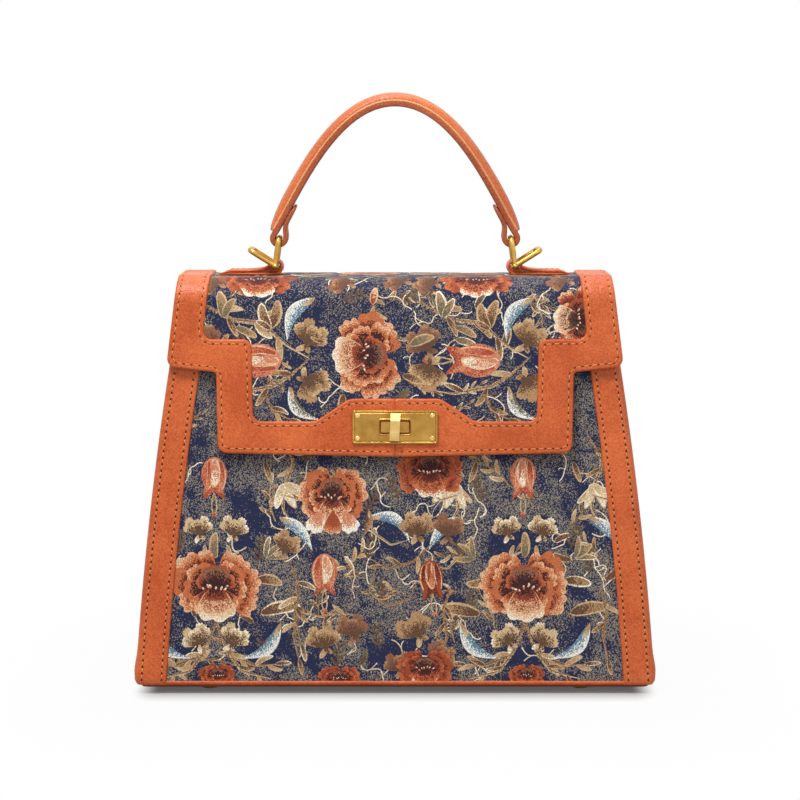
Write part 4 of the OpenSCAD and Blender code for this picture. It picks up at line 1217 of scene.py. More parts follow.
# %% Front middle band
scroll(front, [(-14, 92), (-12, 80), (-2, 73), (8, 76)], 1.4, "sand", "tan")
crescent(front, (-15, 88), (8, 74), 0.26, 0.24)
crescent(front, (-14, 92), (-17, 78), 0.1, 0.3, "tan", "brown")
for x, y, size, an, tones in ((-39, 23, 17, 100, TAN_BLOSSOM), (-23, 29, 16, 95, DRY_BLOSSOM),
                              (10, 29, 18, 120, TAN_BLOSSOM), (25, 15, 15, 60, DRY_BLOSSOM),
                              (12, 84, 17, 90, TAN_BLOSSOM), (29, 83, 16, 80, DRY_BLOSSOM),
                              (-58, 74, 15, 60, TAN_BLOSSOM), (2, 10, 14, 100, DRY_BLOSSOM)):
    blossom(front, (x, y), size, deg(an), tones)
scroll(front, [(-10, 62), (-14, 48), (-4, 40), (8, 44), (12, 54)], 1.3, "tan", "moss", [(0.4, 0.8, 8)])
scroll(front, [(-56, 62), (-52, 50), (-54, 34), (-50, 18)], 1.8, "tan", "brown",
       [(0.25, 0.9, 11), (0.4, -0.9, 12), (0.55, 0.8, 10)], 10)
scroll(front, [(-30, 40), (-38, 34), (-46, 36)], 1.2, "sand", "tan", [(0.5, 0.8, 8)])
scroll(front, [(20, 74), (10, 64), (-4, 60), (-14, 66)], 1.5, "tan", "brown",
       [(0.3, 0.7, 9), (0.55, -0.8, 9), (0.8, 0.6, 8)])
scroll(front, [(36, 68), (28, 60), (22, 62)], 1.2, "sand", "tan")
peony(front, (-34, 98), 38, tall=1.1)
for x, an, tones in ((-6, -112, ("cream", "coral", "ice")), (6.5, -68, ("cream", "coral", "ice")), (0.5, -90, OPEN)):
    front.fan((-34 + x, 92), deg(an), 13, deg(27), *tones, 3, -1.2)
peony(front, (19, 112), 38, tones=DARK)
bud(front, (-38, 57), 23)
bud(front, (19.5, 54), 22, deg(-84), ("rust", "brick", "coral"))
peony(front, (16, 6), 32, tones=DARK, tall=0.8)
peony(front, (-30, 1), 24, tones=DARK, tall=0.7)
fill(front, (-124, -4), (124, 134), 40, math.pi / 2)

# %% Front panel
CLOTH_TOP, TURN_IN = 200, 4
z_edge = np.linspace(WALL_Z, CLOTH_TOP, 30)
right = np.stack([half_w(z_edge) - STRIP_W + TURN_IN, (z_edge - WALL_Z) / COS], -1)
front_outline = np.vstack([right, (right * MIRROR)[::-1]])
front_cloth = stand_in(woven("front cloth", front_outline, front, wall, 0.0, seed=3), "front_panel")

# %% [markdown]
# ## Flap cloth
# On the real flap the cloth is cut sideways, so that its flowers face left and its stems run across. Turning the front
# drawing would put flowers in the wrong places, so the flap has a drawing of its own, measured along the flap's
# surface. The part behind the bend repeats the front part one row further back.

# %% Flap ground
lid = Drawing(23)
for x, y, an in ((-90, -60, 0), (-30, -42, 20), (0, -40, 0), (20, -104, 10), (-28, -100, 0), (90, -40, 10),
                 (-60, -24, 0), (4, -100, 180), (80, -66, 0), (-8, -22, 0), (66, -22, 0), (24, -36, 180),
                 (-84, -36, 0)):
    fern(lid, (x, y), 15, deg(an))
for spot in ((-88, -30), (-60, -36), (-30, -36), (-10, -38), (10, -50), (24, -62), (36, -40), (56, -34), (84, -34),
             (92, -50), (-66, -84), (-36, -108), (10, -78), (30, -84), (48, -104), (-84, -54), (-40, -78), (84, -60),
             (0, -96), (-70, -62), (20, -26), (-20, -28), (58, -108)):
    squiggle(lid, spot, 14)
print("ground shapes:", len(lid.shapes))


# %% Flap bands
def flap_band(d, dx):
    """Stems, leaves and flowers of one band, moved across by dx."""
    at = lambda x, y: (x + dx, y)
    scroll(d, [at(-106, -42), at(-88, -52), at(-72, -54), at(-58, -66), at(-46, -73)], 2.6, "sand", "brown",
           [(0.2, 0.6, 14), (0.3, -0.6, 12), (0.5, -0.6, 13), (0.55, 0.9, 14), (0.7, -0.7, 13)])
    scroll(d, [at(-46, -73), at(-56, -82), at(-66, -88), at(-86, -92), at(-98, -90)], 2.2, "sand", "brown",
           [(0.25, -0.7, 12), (0.5, 0.8, 12), (0.7, -0.6, 12)], 10)
    crescent(d, at(-43, -40), at(-58, -64), -0.2, 0.26)
    crescent(d, at(-57, -88), at(-40, -106), -0.22, 0.24, "ice", "moss")
    for an, size in ((75, 16), (110, 15), (150, 9)):
        leaf(d, at(-67, -57), deg(an), size, wide=0.24)
    for an, size in ((100, 15), (60, 12)):
        leaf(d, at(-92, -51), deg(an), size, "tan", "moss", 0.24)
    leaf(d, at(-86, -56), deg(-25), 13, "tan", "moss", 0.2)
    blossom(d, at(-45, -60), 18, deg(60), TAN_BLOSSOM)
    blossom(d, at(-44, -88), 18, deg(-50), TAN_BLOSSOM)
    scroll(d, [at(-70, -92), at(-66, -101), at(-56, -106)], 1.8, "tan", "brown", [(0.4, 0.8, 10), (0.6, -0.8, 9)], 10)
    peony(d, at(-74, -28), 42, tones=DARK, tall=0.8)
    bud(d, at(-76, -74), 30, math.pi)
    blossom(d, at(-103, -63), 18, deg(120), DRY_BLOSSOM)
    blossom(d, at(-101, -82), 19, deg(-110), TAN_BLOSSOM)


for dx in (0.0, 118.0):
    flap_band(lid, dx)
print("shapes with both bands:", len(lid.shapes))

# %% Flap middle and the row behind
ROW_BACK, BEHIND = np.array([0.0, 94.0]), -16


def shifted_shapes(shapes, by):
    """The same shapes moved by an amount."""
    return [(p + by, a, b, s + by, e + by, low, high) for p, a, b, s, e, low, high in shapes]


peony(lid, (98, -52), 36, -math.pi / 2, ("rust", "brown", "peach"))
for spot in ((-30, -30), (0, -28), (88, -28), (-100, -30), (16, -30)):
    blossom(lid, spot, 15, deg(170), DRY_BLOSSOM)
leaf(lid, (8, -66), deg(20), 14, "tan", "moss", 0.24)
leaf(lid, (4, -82), deg(-20), 12, wide=0.24)
leaf(lid, (-38, -64), deg(160), 8)
leaf(lid, (-28, -92), deg(-90), 12, wide=0.24)
leaf(lid, (-12, -44), deg(80), 10, "peach", "rust", 0.26)
peony(lid, (-17, -71), 47, -math.pi / 2)
row_behind = [shape for shape in lid.shapes if shape[0][:, 1].mean() + ROW_BACK[1] > BEHIND]
lid.shapes = shifted_shapes(row_behind, ROW_BACK) + lid.shapes
lid.halos += [(x, y + ROW_BACK[1], r) for x, y, r in lid.halos if y + ROW_BACK[1] > BEHIND]
fill(lid, (-104, -112), (104, 46), 54, 0.0)

# %% Flap panel
FLAP_FLAT, FLAP_CLOTH_AREA, FLAP_TURN_IN, CLOTH_SINK = (0.212, 0.168), 0.0285, 3.0, 0.04
window = np.vstack([window_edge, (window_edge * MIRROR)[::-1]])
window = window[np.abs(window[:, 0]) > 0.5]
lid_outline = offset(spaced(window, 1.5), -FLAP_TURN_IN)
flap_cloth = woven("flap cloth", lid_outline, lid, flap, LAY_TRIM - CLOTH_SINK, 2.0, 8, turned=True, pale=0.25)
stand_in(flap_cloth, "flap_panel")

# %% [markdown]
# ## Back cloth
# The photo doesn't show the back. A bag like this is cut from one bolt, so the back takes the front's drawing, one
# repeat above the other, and the flap's band is sewn over its top edge. A new drawing would cost time and nobody could
# say that it is more right.

# %% Back panel
REPEAT, BACK_TOP, REPEAT_LAP = 131.0, 190, 6
back_drawing = Drawing(31)
back_drawing.halos = front.halos + [(x, y + REPEAT, r) for x, y, r in front.halos]
for lift in (REPEAT, 0.0):
    tops = [shape[0][:, 1].max() for shape in front.shapes]
    fits = [s for s, top in zip(front.shapes, tops) if top + lift < BACK_TOP and top < REPEAT + REPEAT_LAP]
    back_drawing.shapes += shifted_shapes(fits, np.array([0.0, lift]))
back_wall = lambda u, v, w: wall(u, v, w, back=True)
back_cloth = woven("back cloth", (front_outline * MIRROR)[::-1], back_drawing, back_wall, 0.0, 2.6, 5)
back_cloth.data.flip_normals()
stand_in(back_cloth, "back_panel")

# %% [markdown]
# ## Flap backing
# Behind the flower cloth the flap has a leather layer, and its edge shows under the trim. It could be left to the CAD
# solid, but that has sharp edges, so it is a plate with a rounded edge on the same surface.

# %% Flap backing plate
BACKING_W, BACKING_T = 2.25, 1.7
whole_edge = np.vstack([outer_edge, (outer_edge * MIRROR)[::-1]])
whole_edge = whole_edge[np.abs(whole_edge[:, 0]) > 0.2]
stand_in(plate("flap backing", whole_edge, flap, BACKING_W, BACKING_T, TAN, edge=0.7, step=2.8), "flap_lining")

# %% [markdown]
# ## Straps and wires
# Straps and ring wires keep one cross-section along a line. A curve with a bevel would do for an even strap, but these
# thin out at their ends and lie flat at their bends, so the sections are placed one by one and joined.


# %% Strap and wire sweeps
def section(half_width, thick, r=0.8, steps=3):
    """Rounded rectangle of a strap: (across, out) points."""
    r = min(r, 0.48 * thick)
    out = []
    for (cx, cy), start in zip(FOUR_CORNERS, (0, 90, 180, 270)):
        for k in range(steps + 1):
            an = deg(start + 90 * k / steps)
            out.append((cx * (half_width - r) + r * math.cos(an), cy * (thick / 2 - r) + r * math.sin(an)))
    return out


def unit_run(line):
    """Directions along a line and to its left."""
    along = np.gradient(line, axis=0)
    along /= np.linalg.norm(along, axis=1)[:, None]
    return along, np.stack([-along[:, 1], along[:, 0]], -1)


def swept(name, line, half_width, thick, mat, body):
    """A strap along a line of (x, z) points, with a width and thickness at each."""
    rings = []
    for p, n, w, t in zip(line, unit_run(line)[1], half_width, thick):
        rings.append([(p[0] + n[0] * h, y, p[1] + n[1] * h) for y, h in section(w, t)])
    return capped(name, rings, mat, body)


def tube(name, line, radius, mat, body, closed=False, sides=16):
    """A round wire along a line of points in space."""
    line = np.asarray(line, float)
    ahead = np.roll(line, -1, 0) if closed else np.vstack([line[1:], 2 * line[-1] - line[-2]])
    behind = np.roll(line, 1, 0) if closed else np.vstack([2 * line[0] - line[1], line[:-1]])
    way = ahead - behind
    way /= np.linalg.norm(way, axis=1)[:, None]
    side, rings = np.cross(way[0], (0.3, 0.2, 1.0)), []
    turns = np.linspace(0, 2 * math.pi, sides, endpoint=False)
    for p, t in zip(line, way):
        side = side - t * (side @ t)
        side /= np.linalg.norm(side)
        other = np.cross(t, side)
        rings.append([p + radius * (math.cos(a) * side + math.sin(a) * other) for a in turns])
    if not closed:
        return capped(name, rings, mat, body)
    faces = grid_faces(len(line), sides, wrap_rows=True, wrap_cols=True)
    return faced_out(mesh_object(name, np.vstack(rings), faces, mat, body))


print("a strap's section has", len(section(8, 3)), "points")

# %% [markdown]
# ## Handle strap
# The handle's strap is one flat leather band: it loops round a ring at each end, and its tail runs up the inside and
# thins out. Three pieces glued together would show their joins, so one line is drawn from tail to tail, and the strap
# follows it with a width and a thickness for each point.

# %% Handle line
BAR, LEG = np.array([63.6, 242.763]), deg(33)
LEG_UP, LEG_OUT = np.array([-math.sin(LEG), math.cos(LEG)]), np.array([math.cos(LEG), math.sin(LEG)])
LEG_END, CROWN_Z, LOOP_MID_R = BAR + 5 * LEG_OUT, 317.7, 3.45
STRAP_T, STRAP_HALF, TAIL_GAP, TAIL_AT = 3.1, 8.0, 1.12, (10, 13, 16, 18.5, 20)
crown = bezier((0, CROWN_Z), (35, CROWN_Z), LEG_END + 22 * LEG_UP, LEG_END, 48)
crown = np.vstack([(crown * [-1, 1])[:0:-1], crown])
crown_out = unit_run(crown)[1]
loop = [BAR + LOOP_MID_R * np.array([math.cos(a), math.sin(a)]) for a in np.linspace(LEG, LEG - math.pi, 18)[1:]]
from_end = np.r_[0, np.cumsum(np.linalg.norm(np.diff(crown[::-1], axis=0), axis=1))]
beside = (crown - (STRAP_T + TAIL_GAP) * crown_out)[::-1]
along_strap = np.stack([np.interp(TAIL_AT, from_end, beside[:, k]) for k in (0, 1)], -1)
tail = bezier(loop[-1], loop[-1] + 4 * LEG_UP, along_strap[0] - 5 * LEG_UP, along_strap[0], 8)[1:]
tail = list(tail) + list(along_strap[1:])
print("the crown is", round(from_end[-1]), "mm long")

# %% Handle strap
TAIL_THIN, TAIL_NARROW = (2.1, 1.8, 1.2), (0.2, 1.0, 2.6)
end = np.array(loop + tail)
strap_line = np.vstack([(end * [-1, 1])[::-1], crown - STRAP_T / 2 * crown_out, end])
even = len(tail) - len(TAIL_THIN)
thin = np.r_[np.full(len(loop), STRAP_T), np.linspace(2.8, 2.2, even), TAIL_THIN]
width = np.r_[np.full(len(loop) + even, STRAP_HALF), STRAP_HALF - np.array(TAIL_NARROW)]
# The strap's darker leather is partly its edge paint and partly painted shade under the pad.
strap = swept("handle strap", strap_line, np.r_[width[::-1], np.full(len(crown), STRAP_HALF), width],
              np.r_[thin[::-1], np.full(len(crown), STRAP_T), thin], TAN_STRAP_SHADE, "handle")
stand_in(strap, "handle_strap")

# %% [markdown]
# ## Handle pad
# A padded cover lies on the strap's outer side, over a cord, and is sewn down along both edges, where a narrow pale
# welt shows, pale partly as the leather's edge and partly as a painted highlight along the seam. Cloth simulation could
# puff it up, but leather stretched over a cord is tight and even, so its half-round section is set directly and
# flattens towards both ends.

# %% Pad and welts
PAD_HALF, PAD_H, PAD_EDGE, PAD_TAPER, PAD_LIFT, PAD_STEPS = 7.6, 4.6, 0.5, 24.0, 0.12, 18
WELT_Y, WELT_UP, WELT_R = 7.55, 0.1, 0.72
padded_run = list(zip(crown, crown_out))[1:-1]
rings = []
for p, n in padded_run:
    t = min(1.0, min(np.linalg.norm(p - crown[0]), np.linalg.norm(p - crown[-1])) / PAD_TAPER)
    rise = PAD_EDGE + (PAD_H - PAD_EDGE) * math.sqrt(t * (2 - t))
    turns = [math.pi * k / PAD_STEPS for k in range(PAD_STEPS + 1)]
    arc = [(PAD_HALF * math.cos(a), PAD_LIFT + (rise - PAD_LIFT) * math.sin(a) ** 0.75) for a in turns]
    rings.append([(p[0] + n[0] * h, y, p[1] + n[1] * h) for y, h in arc])
pad = stand_in(capped("handle pad", rings, TAN_PAD, "handle"), "handle_pad")
# The welts' pale leather is partly the leather's edge and partly a painted highlight along the pad's seams.
for side, label in ((-1, "front"), (1, "back")):
    line = [(p[0] + WELT_UP * n[0], side * WELT_Y, p[1] + WELT_UP * n[1]) for p, n in padded_run]
    tube(f"handle welt {label}", line, WELT_R, TAN_EDGE_HIGHLIGHT, "handle", sides=8)

# %% [markdown]
# ## Rings
# Each ring is one bent brass wire: a loop that holds the handle, a sharp bend at the tab and a free loop. A torus has
# no corners, so the wire's line is given by corners with a bend radius at each. A bar runs across the bend, inside the
# tab, and the ring swings on it.


# %% Bent wire
def bent(corners, radii, steps=8):
    """Closed line in space through corners with rounded bends."""
    out, n = [], len(corners)
    for i, r in enumerate(radii):
        a, b, c = (np.asarray(corners[(i + k) % n], float) for k in (-1, 0, 1))
        p, q = (a - b) / np.linalg.norm(a - b), (c - b) / np.linalg.norm(c - b)
        half = math.acos(np.clip(p @ q, -1, 1)) / 2
        mid = (p + q) / np.linalg.norm(p + q)
        o = b + mid * r / math.sin(half)
        s, e = b + p * r / math.tan(half) - o, b + q * r / math.tan(half) - o
        whole = math.acos(np.clip(s @ e / (r * r), -1, 1))
        for k in range(steps + 1):
            t = k / steps
            out.append(o + (math.sin((1 - t) * whole) * s + math.sin(t * whole) * e) / math.sin(whole))
    return np.array(out)


def arc(centre, r, start, stop, n):
    """Points on an arc, angles in degrees."""
    return [centre + r * np.array([math.cos(t), math.sin(t)]) for t in np.radians(np.linspace(start, stop, n))]


print("a bend has", len(bent([(0, 0, 0), (9, 0, 0), (0, 9, 0)], (1, 1, 1))) // 3, "points")

# %% Rings
KNOT, WIRE_R, CROSS_R, HALF_RING = np.array([65.6, 227.763]), 1.45, 1.5, 10.45
LIMB_UP, LIMB_OUT = arc(KNOT, 15.13, 97.6, 97.6, 1)[0], arc(KNOT, 16.2, 32, 32, 1)[0]
BENDS, WIRE_STEP = (3, 1.0, 3, 3, 1.0, 3), 0.8
CROSS_Y = np.r_[-12.0, -11.8, np.linspace(-11.3, 11.3, 12), 11.8, 12.0]
for m, label in ((1, "right"), (-1, "left")):
    spot = lambda p, y: (m * p[0], y, p[1])
    corners = [spot(p, HALF_RING) for p in (LIMB_UP, KNOT, LIMB_OUT)]
    corners += [spot(p, -HALF_RING) for p in (LIMB_OUT, KNOT, LIMB_UP)]
    line = spaced(bent(corners, BENDS), WIRE_STEP)
    ring = tube(f"ring {label}", line, WIRE_R, BRASS_WIRE, f"ring_{label}", closed=True)
    stand_in(ring, f"ring_{label}")
    cross = tube(f"ring bar {label}", [spot(KNOT, y) for y in CROSS_Y], CROSS_R, BRASS_WIRE, f"ring_{label}")

# %% [markdown]
# ## Tabs
# A leather tab holds each ring on the flap's top. It is a strap folded round the ring's bar, its two layers sewn
# together and pared to a thin point. The CAD tab is plain there, so the strap is swept along its fold with a thickness
# that runs out, and a filler closes the wedge between the layers, as a saddler's packing does.

# %% Tab fold
LOOP, LOOP_R, TAB_T, TAB_HALF, TAB_POINT = np.array([65.6, 226.9]), 3.5, 1.5, 8, 87
LOWER_X = (66.6, 69, 72, 78, 84, 87, 90, 92, 94, 96, 97)


def tab_taper(x):
    """Share of a layer's thickness that is left towards the tab's outer end."""
    return np.clip((98.0 - np.abs(x)) / 8.0, 0.3, 1.0)


def tab_top(u, v, w):
    """Points on the tab's upper side."""
    return np.stack(np.broadcast_arrays(u, v, w - 2 * TAB_T * (1 - tab_taper(u))), -1)


circle = arc(LOOP, LOOP_R, 24, 268, 30)
upper = bezier((96.4, FLAP_TOP + 2.25), (78, FLAP_TOP + 2.25), (70.2, FLAP_TOP + 2.3), circle[0], 26)[:-1]
upper[:, 1] -= 1.5 * TAB_T * (1 - tab_taper(upper[:, 0]))
lower = np.array([(x, FLAP_TOP + 0.03) for x in LOWER_X])
lower[:, 1] += TAB_T / 2 * tab_taper(lower[:, 0])
tab_line = np.vstack([upper, circle, lower])
tab_x = tab_line[:, 0]
tab_half = np.where(tab_x > TAB_POINT, TAB_HALF - 5 * (tab_x - TAB_POINT) / 10, TAB_HALF)
print("the tab's strap is", round(np.linalg.norm(np.diff(tab_line, axis=0), axis=1).sum()), "mm long")

# %% Tab filler
FILLER_HALF, FILLER_R, SEAT_R = 7.4, 2.8, 1.8
under = upper + (TAB_T / 2 - 0.06) * unit_run(upper)[1]
under = under[(upper[:, 0] < 86) & (upper[:, 0] > 70)]
seat = arc(LOOP, FILLER_R, 24, 24, 1) + arc(KNOT, SEAT_R, 10, -170, 14) + arc(LOOP, FILLER_R, 170, 264, 10)
filler_edge = np.vstack([under, seat, [(x, FLAP_TOP + TAB_T) for x in (68, 72, 78, 84)]])
net, filler_tris = triangles([], [filler_edge])
filler_tris = filler_tris[inside(net[filler_tris].mean(1), filler_edge)]
print("filler triangles on a side:", len(filler_tris))

# %% Tabs and their stitches
TAB_ROW_IN, TAB_SEW, TAB_CROSS = 1.8, (2.95, 3.2), (75.4, 3.05, 3.0)
sew_x = np.linspace(76, 94, 12)
sew_y = np.interp(sew_x, [76, TAB_POINT, 97], [TAB_HALF, TAB_HALF, 3]) - TAB_ROW_IN
tab_stitches = Stitches()
for m, label in ((1, "right"), (-1, "left")):
    tab = swept(f"tab {label}", tab_line * [m, 1], tab_half, TAB_T * tab_taper(tab_x), TAN, "bag")
    stand_in(tab, f"tab_{label}")
    sides = [np.column_stack([m * net[:, 0], np.full(len(net), y), net[:, 1]]) for y in (-FILLER_HALF, FILLER_HALF)]
    # The filler's darker strap leather paints the shade in the wedge between the tab's layers.
    filler = mesh_object(f"tab filler {label}", np.vstack(sides), closed_faces(filler_tris, len(net)), TAN_STRAP_SHADE)
    faced_out(filler)
    for side in (-1, 1):
        tab_stitches.row(np.stack([m * sew_x, side * sew_y], -1), tab_top, FLAP_TOP + TAB_SEW[0], TAB_SEW[1])
    cross_row = np.stack([np.full(5, m * TAB_CROSS[0]), np.linspace(-5.6, 5.6, 5)], -1)
    tab_stitches.row(cross_row, tab_top, FLAP_TOP + TAB_CROSS[1], TAB_CROSS[2])
tab_stitches.done("tab")

# %% [markdown]
# ## Lock plate
# The lock is a cast brass plate with a stepped edge and a raised rim round its slot. Bevelling the CAD plate would
# round all edges alike. Rounded rectangles are stacked instead, from the outer edge over the rim and down the slot,
# each with its own height, as the section of a moulding is turned into its shape.

# %% Lock plate
LOCK_V, PLATE_HALF, PLATE_R, SLOT_HALF, SLOT_R = 135.4 / COS, (23.0, 9.0), 1.3, (8.2, 3.6), 0.7
EDGE_STEPS = ((0, 0.0), (0, 0.9), (-0.1, 1.25), (-0.35, 1.5), (-0.75, 1.52), (-1.0, 1.35), (-1.15, 1.05),
              (-1.35, 1.02), (-1.5, 1.2), (-1.7, 1.36), (-1.95, 1.4), (-2.2, 1.4))
SLOT_STEPS = ((1.15, 1.4), (0.95, 1.4), (0.9, 1.65), (0.75, 1.95), (0.5, 2.08), (0.25, 2.0), (0.06, 1.75), (0.0, 1.4),
              (0.0, 0.0))


def on_lock(x, y, h):
    """Points on the lock, h measured out from the flap."""
    return wall(np.asarray(x, float), LOCK_V + np.asarray(y, float), LAY_LOCK + np.asarray(h, float))


def box_ring(half, grow, r):
    """Rounded rectangle grown by an amount."""
    return round_box(half[0] + grow, half[1] + grow, max(0.2, r + grow), 5)


stack = [(box_ring(PLATE_HALF, grow, PLATE_R), h) for grow, h in EDGE_STEPS]
stack += [(box_ring(SLOT_HALF, grow, SLOT_R), h) for grow, h in SLOT_STEPS]
pts = np.vstack([on_lock(ring[:, 0], ring[:, 1], h) for ring, h in stack])
lock_faces = grid_faces(len(stack), len(stack[0][0]), wrap_rows=True, wrap_cols=True)
lock = faced_out(mesh_object("lock plate", pts, lock_faces, BRASS))
stand_in(lock, "lock_plate")

# %% [markdown]
# ## Lock screws
# Four small domed screws hold the plate, and each slot points its own way, as a hand leaves them. A boolean cut would
# leave ragged faces on so small a head. The head is rings of points, and the points within the slot's width are pressed
# down to its floor.

# %% Lock screws
SCREW_AT, HEAD_R, HEAD_H, HEAD_BASE, HEAD_FOOT, KERF, KERF_FLOOR = (20.1, 6.1), 1.35, 0.6, 1.4, 1.2, 0.2, 1.45
HEAD_SHARES, HEAD_SIDES = (1.0, 1.0, 0.93, 0.8, 0.62, 0.42, 0.22, 0.02), 40
around = np.linspace(0, 2 * math.pi, HEAD_SIDES, endpoint=False)
pts, faces = [], []
for (sx, sy), turn in zip(FOUR_CORNERS, np.radians((35, 120, 60, 150))):
    first = len(pts)
    for k, share in enumerate(HEAD_SHARES):
        x, y = HEAD_R * share * np.cos(around), HEAD_R * share * np.sin(around)
        h = np.full(HEAD_SIDES, HEAD_BASE + HEAD_H * math.sqrt(1 - share ** 2) if k else HEAD_FOOT)
        cut = np.abs(x * math.sin(turn) - y * math.cos(turn)) < KERF
        h = np.where(cut & (h > KERF_FLOOR), KERF_FLOOR, h)
        pts += list(on_lock(sx * SCREW_AT[0] + x, sy * SCREW_AT[1] + y, h))
    head = grid_faces(len(HEAD_SHARES), HEAD_SIDES, wrap_cols=True) + [tuple(range(HEAD_SIDES))[::-1]]
    head.append(tuple((len(HEAD_SHARES) - 1) * HEAD_SIDES + i for i in range(HEAD_SIDES)))
    faces += [tuple(first + i for i in f) for f in head]
stand_in(faced_out(mesh_object("lock screws", pts, faces, BRASS_BAR)), "lock_screws")

# %% [markdown]
# ## Folded sides
# The leather sides are creased down their middle and fold inward towards the mouth; inside each one lies a lining that
# follows the fold. Flat sides bent by a simulation would crease anywhere. A formula for the fold's depth at each height
# puts the crease where a hand pressed it, and both layers share it.

# %% Folded sides
FOLD_FROM, SIDE_TOP, FOLD_DEEP, CREASE_SOFT, BELLY = 60.0, 186.1, 16.0, 0.02, 0.5
SIDE_ROOM, LINING_FLAT, LINING_AREA = 1.75, (0.106, 0.18), 0.0155


def fold(z):
    """How far a side folds in at a height."""
    return FOLD_DEEP * max(0.0, z - FOLD_FROM) / (SIDE_TOP - FOLD_FROM)


def crease(t):
    """Share of the fold across a side: 1 in the middle, 0 at both edges."""
    return (math.sqrt(1 + CREASE_SOFT) - math.sqrt(t * t + CREASE_SOFT)) / (math.sqrt(1.02) - math.sqrt(CREASE_SOFT))


def side_sheet(name, sign, inset, thick, edge_in, mat, low, high):
    """A folded side piece, inset from the bag's outside."""
    levels, across, layers = np.linspace(low, high, 36), np.linspace(-1, 1, 25), []
    for back_face in (0.0, thick):
        for z in levels:
            y = half_d(z) - SIDE_ROOM - edge_in
            for t in across:
                belly = BELLY * math.sin(math.pi * (z - low) / (high - low)) * (1 - t * t)
                x = half_w(z) - inset - fold(z) * crease(t) - back_face - 0.1 * crease(t) - belly
                layers.append((sign * x, y * t, z))
    n, k = len(levels), len(across)
    faces = grid_faces(n, k) + [tuple(i + n * k for i in f[::-1]) for f in grid_faces(n, k)]
    rim = list(range(k)) + [i * k + k - 1 for i in range(1, n)]
    rim += [(n - 1) * k + i for i in range(k - 2, -1, -1)] + [i * k for i in range(n - 2, 0, -1)]
    faces += [(a, a + n * k, b + n * k, b) for a, b in zip(rim, rim[1:] + rim[:1])]
    return faced_out(mesh_object(name, layers, faces, mat))


for sign, label in ((1, "right"), (-1, "left")):
    stand_in(side_sheet(f"side {label}", sign, LEATHER, 1.6, 0.0, TAN, WALL_Z, SIDE_TOP), f"gusset_{label}")
    inner = side_sheet(f"lining {label}", sign, LEATHER + SIDE_ROOM, 0.7, 1.0, LINING, 8.8, 186.0)
    stand_in(inner, f"lining_{label}")

# %% [markdown]
# ## Lining and facing
# Inside, plain cloth covers the walls and the floor, and a leather facing runs round the mouth. They show only when one
# looks in under the flap, so they are plates like the leather, thin and with few points, on surfaces inside the walls.

# %% Wall lining and facing
LINING_T, WALL_LINING_FLAT, WALL_LINING_AREA = 0.7, (0.27, 0.18), 0.0455


def inner_wall(back, depth):
    """Surface inside a wall, w measured inward from it."""
    return lambda u, v, w: wall(u, v, -depth - np.asarray(w), back)


def wall_piece(low, high, n, inset):
    """Outline of a piece on a wall between two heights, inset from the bag's width."""
    z = np.linspace(low, high, n)
    edge = np.stack([half_w(z) - inset, (z - WALL_Z) / COS], -1)
    return np.vstack([edge, (edge * MIRROR)[::-1]])


for back_side, label in ((False, "front"), (True, "back")):
    piece = plate(f"lining {label}", wall_piece(8.8, 186, 24, 3.4), inner_wall(back_side, 1.75), 0.0, LINING_T, LINING,
                  edge=0.5, step=9.0)
    stand_in(piece, f"lining_{label}")
    facing_edge = wall_piece(186.6, 205.6, 6, STRIP_W)
    facing_edge[:, 0] -= 0.5 * np.sign(facing_edge[:, 0])
    facing = plate(f"facing {label}", facing_edge, inner_wall(back_side, 1.65), 0.0, 1.3, TAN_INNER, edge=0.7, step=6.0)
    stand_in(facing, f"facing_{label}")


# %% Lining floor
def level(height, up=1):
    """A level surface, w measured up from it, or down where up is -1."""
    return lambda u, v, w: np.stack(np.broadcast_arrays(u, v, height + up * np.asarray(w)), -1)


FLOOR_Z, FLOOR_FLAT = 8.6, (0.268, 0.105)
floor_lining = plate("lining floor", round_box(134.2, 52.6, 1.5), level(FLOOR_Z), 0.1, LINING_T, LINING,
                     edge=0.5, step=9.0)
stand_in(floor_lining, "lining_floor")

# %% [markdown]
# ## Base
# The base is a board covered with leather, edged by a rolled leather band that shows as a thin line under the cloth. A
# pipe along a curve would be round all over; the band is flat inside and rolled outside, so its own section runs round
# the base. The base leather is a plate that faces down, set back behind the band.

# %% Base band
BASE_X, BASE_Y, BASE_R, BASE_STEP = 139.6, 58, 6, 2.0
BAND_SECTION = [(-2.4, 4.9), (-0.9, 4.9), (-0.35, 5.1), (-0.05, 5.5), (0.05, 6.0), (-0.05, 6.5), (-0.35, 6.85),
                (-0.8, 7.0), (-2.4, 6.95)]


def base_path(grow):
    """Rounded rectangle of the base, grown by an amount."""
    return spaced(round_box(BASE_X + grow, BASE_Y + grow, BASE_R + grow, 12), BASE_STEP)


path = base_path(0.0)
pts = [(p[0] - n[0] * a, p[1] - n[1] * a, z) for p, n in zip(path, normals_in(path)) for a, z in BAND_SECTION]
band_faces = grid_faces(len(path), len(BAND_SECTION), wrap_rows=True, wrap_cols=True)
stand_in(faced_out(mesh_object("base band", pts, band_faces, TAN)), "base_band")

# %% Base leather
FOOT_H, BASE_T, SET_BACK = 3.2, 2.2, 2.4
# The base leather's dark tone is painted shade under the bag.
base = plate("base leather", base_path(-SET_BACK), level(FOOT_H + BASE_T, -1), 0.0, BASE_T, TAN_SHADE, edge=1.0, step=7.0)
stand_in(base, "base_panel")

# %% [markdown]
# ## Studio floor
# Product photos stand on a white sweep: the floor runs on to white, and only a soft shadow lies round the object. A
# white floor lit by lamps would need so much light that the bag would bleach. So the floor glows white for camera,
# gloss and glass rays, and less so close to the bag, where it turns to a painted shadow through which the bag's real
# shadow shows too.

